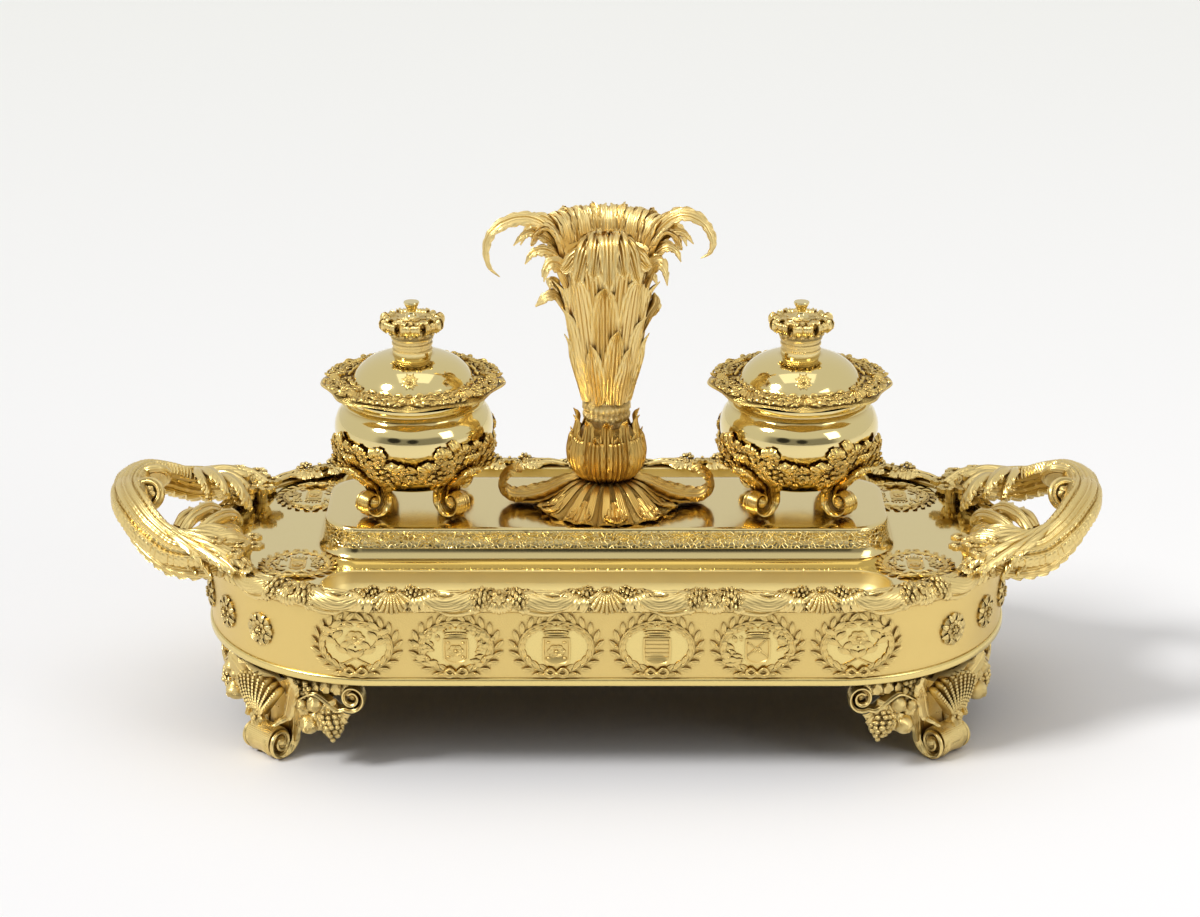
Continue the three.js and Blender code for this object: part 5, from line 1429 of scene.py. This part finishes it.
base_parts = [lathe(SKIRT, PLEATS * 10, radius_at=skirt_edge, height_at=skirt_wave, ring=True)]
for k in range(PLEATS):
    rows = [[10.8, 107.5], [14.4, 106.9], [18.4, 105.2], [22.6, 102.2], [26.0, 99.8], [29.0, 98.0],
            [31.0, 97.6]]
    base_parts.append(ray_leaf(ray(FRONT + TURN * k / PLEATS), rows, 2.1, thick=1.3, flutes=1, ridge=0.3,
                               outline=[0.4, 0.55, 0.7, 0.8, 0.9, 0.7, 0.2], steps=26))
for k in range(PLEATS // 2):
    lip = 1.2 * (k % 3 == 0)
    rows = [[21.0, 102.9], [24.6, 100.6], [27.6, 98.6], [30.2, 97.2 + lip], [32.4, 97.0 + lip]]
    base_parts.append(ray_leaf(ray(FRONT + TURN * (k + 0.25) / (PLEATS // 2)), rows, 5.2, teeth=4,
                               sweep=-0.2, flutes=5, ridge=0.18, cup=-0.14,
                               outline=[0.2, 0.55, 0.9, 1.0, 0.5], steps=28, across=21))
for angle in (0, math.pi):
    hook = [[11, 107.4], [18, 105.0], [26, 101.2], [34.0, 98.9], [40.6, 98.8], [44.6, 102.0],
            [44.2, 107.4], [40.4, 111.2], [37.2, 110.4]]
    base_parts.append(ray_leaf(ray(angle), hook, 8.2, thick=3.0, teeth=14, cut=0.16, flutes=6,
                               ridge=0.18, cup=-0.2, steps=52, across=17,
                               outline=[0.5, 0.8, 1.0, 0.95, 0.8, 0.72, 0.66, 0.5, 0.16]))
    for turn, reach in ((-0.2, 37.0), (-0.42, 32.5), (0.2, 37.0), (0.42, 32.5)):
        rows = [[11, 107.2], [18, 104.6], [reach * 0.76, 99.8], [reach, 98.4]]
        base_parts.append(ray_leaf(ray(angle + turn), rows, 5.0, thick=1.3, teeth=9, cut=0.2, flutes=5,
                                   ridge=0.18, cup=-0.12, outline=[0.5, 0.9, 1.0, 0.8, 0.15], steps=28,
                                   across=13))
make("base_skirt", merged(base_parts), EARTH_GILT, ["vase_base"])

# %% [markdown]
# ## Handles
# Each handle is a loop of two broad reeded bands that rise from the tray's end, with a small
# flower in a ringed eye on each. A cut leaf edge hangs inside each arm, and another runs along
# its outer underside. Towards the tray the reeds part into long fingers that fall over the rim
# and lie on the deck. The right front arm is made first. The others are its mirror images.

# %% Handles
HANDLE_MIDDLE = np.array([184.0, 0.0, 98.0])
ARM = [[209.6, 4.0, 103.0], [208.6, -9.0, 103.6], [204.2, -23.0, 101.6], [196.4, -34.6, 96.2],
       [186.0, -41.6, 90.6], [173.2, -44.4, 89.8], [162.5, -40.5, 91.6], [153.6, -36.0, 88.2]]
ARM_STEPS = 44
OUTER_Y = -36


def arm_line(steps):
    """The arm's middle line, and at each point the direction into the loop and upwards."""
    path = smooth(ARM, steps)
    return path, unit(HANDLE_MIDDLE - path + [0, 0, 14.0])


fine_path, fine_inwards = arm_line(ARM_STEPS * 3)
arm_path, inwards = arm_line(ARM_STEPS)
roll_path = (arm_path + inwards * 6.2)[:32:4]
arm_parts = [leaf(fine_path, fine_inwards, 8.4, thick=7.0, teeth=40, cut=0.12, flutes=5, ridge=0.2,
                  sweep=0.0, outline=[0.7, 0.85, 1.0, 1.05, 1.05, 1.0, 0.9, 0.6], steps=ARM_STEPS * 3,
                  across=21),
             bar(roll_path, [2.2, 3.0, 3.0, 2.6, 1.6], steps=30, sides=10)]
for first, last, inside, half, cuts, drop in ((2, 36, 5.6, 5.4, 9, 5.6), (5, 44, -4.2, 4.4, 15, 5.8)):
    line = (arm_path + inwards * inside)[first:last:4] - [0, 0, drop]
    arm_parts.append(leaf(line, (0, 0, -1), half, thick=2.0, teeth=cuts, cut=0.34, sweep=0.3, ridge=0.2,
                          outline=[0.4, 0.85, 1.0, 1.0, 0.95, 0.6], steps=90, across=11))
FINGERS = [([206, -17, 101], [201, -28, 95], [194.6, -35.5, 88.5], [189, -38.5, 83.5], 3.6),
           ([203, -22, 101], [195, -34.5, 94], [188.5, -40.5, 87.5], [182.5, -43.5, 81.5], 3.8),
           ([199, -27, 100.5], [188.5, -38.5, 93.8], [180, -45.4, 87.5], [174.5, -48.4, 80.6], 4.0),
           ([194, -31, 99.5], [182, -42, 94.4], [173.5, -49.2, 88.6], [167.4, -53.6, 81.0], 4.2),
           ([187, -36, 97], [175, -45, 93.4], [165, -52, 89.4], [157, -58.6, 85.6], 4.2),
           ([183, -38, 96], [171, -45, 94.4], [161, -50.5, 90.4], [153.6, -53.6, 86.0], 3.8),
           ([180, -39, 95.5], [170, -41, 95.6], [162, -41, 92.4], [156.0, -40.4, 86.4], 4.4),
           ([178, -37, 95], [170, -34.5, 96.0], [163, -31.0, 93.2], [158.4, -28, 87.2], 4.0),
           ([175, -38, 94], [165, -36.6, 95.2], [158, -35.6, 91.6], [153.6, -34.5, 86.0], 3.8),
           ([176, -42, 93], [166, -47, 92.6], [158, -49, 89.4], [151.6, -48.6, 85.4], 3.8),
           ([172, -33, 92], [166, -26, 93.0], [161, -21, 90.4], [158.4, -17.5, 86.2], 3.6),
           ([181, -37, 96], [177, -28, 99.4], [172, -18, 99.4], [167.4, -10.4, 95.0], 4.4),
           ([184, -36, 97], [181.4, -27, 98.6], [178, -18, 97.0], [175.6, -11.4, 92.6], 3.8),
           ([176, -36, 94], [169, -27, 97.0], [163, -17, 96.0], [159.4, -9.4, 90.4], 4.2)]
for *spine, half in FINGERS:
    outer = np.mean(spine, axis=0)[1] < OUTER_Y
    across = unit(np.array([0.55, 0.85, 0.35] if outer else [0.1, 1.0, 0.3]))
    arm_parts.append(leaf(spine, across, half * 0.86, thick=2.6, flutes=2, ridge=0.3, cup=-0.2,
                          outline=[0.6, 0.8, 0.9, 0.9, 0.8, 0.3], steps=28, across=13))
    arm_parts.append(acanthus(spine, across, half * 1.25, 4, 0.6, 0.35, 0.35, 0.9,
                              (0.7, 1.0, 1.0, 0.7), 1.6))
ringed_eye = merged(hoop(6.0, 6.0, 1.9, 12, corners=24),
                    lathe([[0.1, -2.2], [5.6, -2.2], [5.6, -0.4], [0.1, 0.2]], 32),
                    moved(flower(4.0), (0, 0, 0.2)))
arm_parts.append(moved(spun(ringed_eye, math.radians(58), 0), (199.2, -11.0, 103.0), math.radians(14)))
for x, y, z, r in ((160, -30, 90, 2.6), (156, -42, 91, 2.8), (163, -36, 94, 2.8), (150, -40, 90, 2.4),
                   (152, -30, 90, 2.4), (158, -50, 90.5, 2.6), (166, -44, 94, 2.6)):
    arm_parts.append(moved(flower(r * 1.7), (x, y, z)))
arm_parts.append(moved(lathe([[2.4, low("handle_right")[2]], [2.4, 87.0]], 16), (155, -36, 0)))
right_arm = merged(arm_parts)
right_handle = merged(right_arm, flipped(right_arm, 1))
make("handle_right_leaves", right_handle, CHASED, ["handle_right"])
make("handle_left_leaves", flipped(right_handle, 0), CHASED, ["handle_left"])

# %% [markdown]
# ## Feet
# A foot is a wide band that drops from the tray in a hollow curve and rolls up into a scroll. A
# shell with beaded ribs fans out above the roll. At each side a smaller scroll runs along the
# rim, and round fruit and a bunch of grapes hang from it. The foot is built flat, with X along
# the rim, Y upwards and Z outwards, and then bent to the tray's corner.

# %% Feet
FOOT_TURN = math.radians(48)
FOOT_STUD = np.array([STRAIGHT + (END_REACH - 8.6) * math.cos(FOOT_TURN),
                      -(HALF_DEPTH - 12.9) * math.sin(FOOT_TURN)])
FOOT_AT, FOOT_INSET = nearest(FOOT_STUD)
ROLL_R, ROLL_HALF, ROLL_OUT, ROLL_HEIGHT = 9.2, 9.4, 3.8, 7.6


def on_roll(made, x=0.0):
    """Turns a coil or a drum so that its axis lies along the rim, and sets it in the roll."""
    points = made[0][:, [2, 1, 0]]
    return moved((points, [face[::-1] for face in made[1]], made[2]), (x, ROLL_HEIGHT, ROLL_OUT))


leg_tail = [[6.4, 41.0], [3.4, 37.0], [-1.0, 29.0], [-4.6, 19.0]]
leg = coil(ROLL_R - 1.4, 1.55, ROLL_HALF, 2.8, tighten=0.8, flutes=5, steps=64,
           tail=[[out - ROLL_OUT, z - ROLL_HEIGHT] for out, z in leg_tail],
           widths=[1.9, 1.6, 1.25, 1.04, 1.0, 1.0, 0.98, 0.94, 0.9])
drum = lathe([[r, ROLL_HALF * z] for r, z in ((0.1, -0.84), (6.4, -0.84), (6.4, 0.84), (0.1, 0.84))], 40)
cap = [[-17.0, 39.8, 0.0], [-8.0, 40.6, 1.6], [0, 41.0, 2.2], [8.0, 40.6, 1.6], [17.0, 39.8, 0.0]]
foot_parts = [on_roll(leg), on_roll(drum),
              moved(spun(scallop(22.0, 9, 1.5, beads=10), 0.1, 0), (0, 18.0, 4.6)),
              moved(spun(flower(4.0), -0.3, 0), (0, 18.6, 8.8)),
              leaf(cap, (0, 1, 0), 3.8, thick=6.0, teeth=9, cut=0.2, flutes=4, ridge=0.2,
                   outline=[0.9, 1.0, 1.0, 1.0, 0.9], steps=40, across=13)]
for hand in (-1, 1):
    mirror = np.array([hand, 1, 1])
    foot_parts.append(on_roll(ball(3.0, (0, 0, 0), 16, 8, 0.7), hand * ROLL_HALF * 0.9))
    face = coil(8.0, 1.9, 1.0, 1.5, tighten=0.84, flutes=1, eye=0.3)
    foot_parts.append(on_roll(face, hand * (ROLL_HALF + 0.1)))
    side_leaf = [[8.6, 16.5, 8.0], [11.0, 18.6, 5.0], [13.4, 21, 2.6], [16.6, 30, 3.4],
                 [20.4, 37.6, 6.6], [23.4, 40.8, 8.6]]
    back_leaf = [[10.0, 6, -3.6], [13.0, 16, -2.6], [17.0, 27, 0.0], [24.0, 36, 2.0]]
    wing = [[12, 37.5, -1.5], [24, 38.0, -0.8], [36, 38.4, -0.4], [50, 39.4, 0.0]]
    foot_parts += [
        leaf(side_leaf * mirror, (1, 0.2 * hand, 0.5 * hand), 5.6, thick=2.0, teeth=7, cut=0.2, flutes=5,
             ridge=0.24, outline=[0.3, 0.55, 0.9, 1.0, 0.85, 0.3], steps=36, across=13),
        leaf(back_leaf * mirror, (1, 0.3 * hand, 0.2 * hand), 6.0, thick=2.2, teeth=6, cut=0.2, flutes=5,
             ridge=0.2, outline=[0.4, 0.8, 1.0, 0.9, 0.5], steps=28, across=13),
        leaf(wing * mirror, (0, 1, 0), 6.4, thick=2.0, teeth=8, cut=0.2, flutes=5,
             outline=[1.0, 1.0, 0.95, 0.8, 0.55], steps=30, across=11)]
    volute = moved(coil(6.4, 1.7, 3.8, 2.0, start=math.radians(-118), tighten=0.68, steps=44, eye=0.3,
                        tail=[[-27, -4.5], [-19, -0.2], [-12, -3.2], [-7.0, -6.4]]), (49.0, 35.6, 2.8))
    foot_parts.append(volute if hand > 0 else flipped(volute, 0))
    foot_parts += [ball(4.6, (hand * 27.6, 21.0, 4.2), 18, 12, 1.15),
                   moved(flower(1.8, 5, 0.6), (hand * 27.6, 20.0, 8.4)),
                   ball(4.0, (hand * 31.0, 31.0, 4.8), 16, 10),
                   ball(2.6, (hand * 24.6, 30.0, 5.6), 16, 10)]
    grapes = spun(bunch(13.5, 5.6, 21 + hand, 1.4), 0.1 * hand)
    foot_parts.append(moved(scaled(grapes, (1.1, 1, 0.8)), (hand * 38.0, 28.5, 3.4)))
    for x, y, turn, size in ((36.0, 31.0, -2.6, 8.0), (43.0, 28.6, 2.9, 7.0), (31.4, 26.0, -2.9, 7.6),
                             (18.6, 33.0, -3.4, 6.0), (24.0, 28.0, -2.4, 6.0)):
        foot_parts.append(moved(vine_leaf(size), (hand * x, y, 4.6), hand * turn))
    random = np.random.default_rng(5 + hand)
    for _ in range(24):
        x, y = 19.0 + random.uniform(0, 9.5), 31.5 + random.uniform(0, 10.0)
        foot_parts.append(ball(1.3, (hand * x, y, 4.4 + 0.25 * (y - 32)), 9, 6))
    d = unit(np.array([hand * 0.7, -0.7, 0.3]))
    for k in range(4):
        foot_parts.append(ray_leaf(d, [[0, 0], [3.5, 1.2], [7.5, 0]], 2.4,
                                   (hand * (27 + 5.5 * k), 41.5, 2.0), teeth=3, steps=10, across=7))
foot = merged(foot_parts)
foot[0][:, 1] = np.clip(foot[0][:, 1], 0.0, BASE_LOW - 0.02)
stud_bar = lathe([[2.3, 38.0], [2.3, 52.0]], 16)


def on_corner(distance):
    """Carries a foot to the tray's underside, at a distance along the rim."""
    def place(points):
        return np.column_stack([edge(distance + points[:, 0], points[:, 2] - FOOT_INSET), points[:, 1]])
    return place


FEET = [("front_right", FOOT_AT, (1, 1)), ("back_right", HALF_RIM - FOOT_AT, (1, -1)),
        ("back_left", HALF_RIM + FOOT_AT, (-1, -1)), ("front_left", -FOOT_AT, (-1, 1))]
for corner, distance, mirror in FEET:
    stud = moved(stud_bar, (*(FOOT_STUD * mirror), 0))
    make(f"foot_{corner}_scroll", merged(carried(foot, on_corner(distance)), stud), CHASED,
         [f"foot_{corner}"])

# %% [markdown]
# ## Hidden nuts
# The nuts sit inside the tray and under the deck. They stay as the CAD gives them and only get
# the matted finish through their own material slots.

# %% Nuts
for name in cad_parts:
    if "_nut" in name:
        for placed in bpy.data.objects[name].material_slots:
            placed.material = MATTED

# %% [markdown]
# ## Studio
# A white cyclorama floor and a bright room make metal pale. What gives it form is the dimmer
# side of the room behind the camera, two dark flags in it that draw streaks on the polished
# metal, and a broad sun from the left. Two soft boxes fill the right and the top. The room is
# painted on the world by direction. The camera sees it as an even white, and matt surfaces such
# as the floor are lit only by its upper part.

# %% Floor
FLOOR_SIZE = 14.0
bpy.ops.mesh.primitive_plane_add(size=FLOOR_SIZE, location=(0, 0, 0))
floor = bpy.context.object
floor.name = "cyclorama"
floor_paint, floor_tree, floor_shader = new_material("white paper")
floor_place = add(floor_tree, "ShaderNodeTexCoord").outputs["Object"]
depth = add(floor_tree, "ShaderNodeSeparateXYZ", Vector=floor_place)
fade = add(floor_tree, "ShaderNodeMapRange", {"From Min": -0.3, "From Max": 1.6}, Value=depth.outputs["Y"])
paper = blend(floor_tree, fade.outputs["Result"], "#F8F7F8", "#F6F6F2")
floor_tree.links.new(paper, floor_shader.inputs["Base Color"])
floor_shader.inputs["Roughness"].default_value = 0.85
floor_shader.inputs["Specular IOR Level"].default_value = 0.1
floor.data.materials.append(floor_paint)

# %% Room
FLAGS = [((-0.42, -0.86, 0.26), 0.988), ((0.02, -0.96, 0.22), 0.992)]
BRIGHT_WALL, DIM_WALL, FLAG_LIGHT = 0.92, 0.34, 0.12
SKY_OVER_FLOOR, SKY_SEEN = 1.05, 0.95
world = bpy.data.worlds.new("studio room")
bpy.context.scene.world = world
world.use_nodes = True
room = world.node_tree
room.nodes.clear()
direction = add(room, "ShaderNodeTexCoord").outputs["Generated"]
toward = add(room, "ShaderNodeSeparateXYZ", Vector=direction)


def ramp(source, start, end, at_start, at_end):
    return add(room, "ShaderNodeMapRange", {
        "interpolation_type": "SMOOTHSTEP", "From Min": start, "From Max": end, "To Min": at_start,
        "To Max": at_end}, Value=source).outputs["Result"]


front = product(room, ramp(toward.outputs["Y"], -0.45, -0.8, 0.0, 1.0),
                ramp(toward.outputs["Z"], 0.5, 0.3, 0.0, 1.0))
walls = ramp(front, 0.0, 1.0, BRIGHT_WALL, DIM_WALL)
for aim, size in FLAGS:
    near = add(room, "ShaderNodeVectorMath", {"operation": "DOT_PRODUCT"}, _0=direction)
    near.inputs[1].default_value = unit(np.array(aim))
    walls = product(room, walls, ramp(near.outputs["Value"], size - 0.008, size + 0.004, 1.0, FLAG_LIGHT))
from_above = ramp(toward.outputs["Z"], 0.38, 0.85, 0.0, SKY_OVER_FLOOR)
path = add(room, "ShaderNodeLightPath")
seen = add(room, "ShaderNodeMix", {"data_type": "FLOAT"}, Factor=path.outputs["Is Diffuse Ray"], A=walls,
           B=from_above)
sky = add(room, "ShaderNodeMix", {"data_type": "FLOAT"}, Factor=path.outputs["Is Camera Ray"],
          A=seen.outputs["Result"])
sky.inputs[3].default_value = SKY_SEEN
light_out = add(room, "ShaderNodeBackground", Strength=sky.outputs["Result"])
add(room, "ShaderNodeOutputWorld", Surface=light_out.outputs["Background"])


# %% Lamps
def placed_light(name, kind, power):
    lamp = bpy.data.lights.new(name, kind)
    lamp.energy = power
    holder = bpy.data.objects.new(name, lamp)
    bpy.context.scene.collection.objects.link(holder)
    return lamp, holder


def softbox(name, place, size, power, aim=(0, 0, 0.1)):
    lamp, box = placed_light(name, "AREA", power)
    lamp.shape = "RECTANGLE"
    lamp.size, lamp.size_y = size
    box.location = place
    away = np.array(place) - np.array(aim)
    box.rotation_euler = (math.atan2(math.hypot(away[0], away[1]), away[2]), 0,
                          math.atan2(away[0], -away[1]))


key, sun = placed_light("key left", "SUN", 1.85)
key.angle = math.radians(15)
sun.rotation_euler = (math.radians(46), 0, math.radians(-62))
softbox("fill right", (1.15, -0.9, 0.85), (0.5, 0.7), 3.0)
softbox("top", (0.0, -0.1, 1.7), (1.2, 0.8), 2.0)

# %% Camera
lens = bpy.data.cameras.new("product camera")
lens.lens = 95.1
lens.sensor_width = 36.0
camera = bpy.data.objects.new("product camera", lens)
camera.location = (-0.0028, -1.3, 0.5857)
camera.rotation_euler = (math.radians(70.12), 0, 0)
bpy.context.scene.collection.objects.link(camera)
bpy.context.scene.camera = camera
bpy.context.scene.view_settings.view_transform = "Standard"
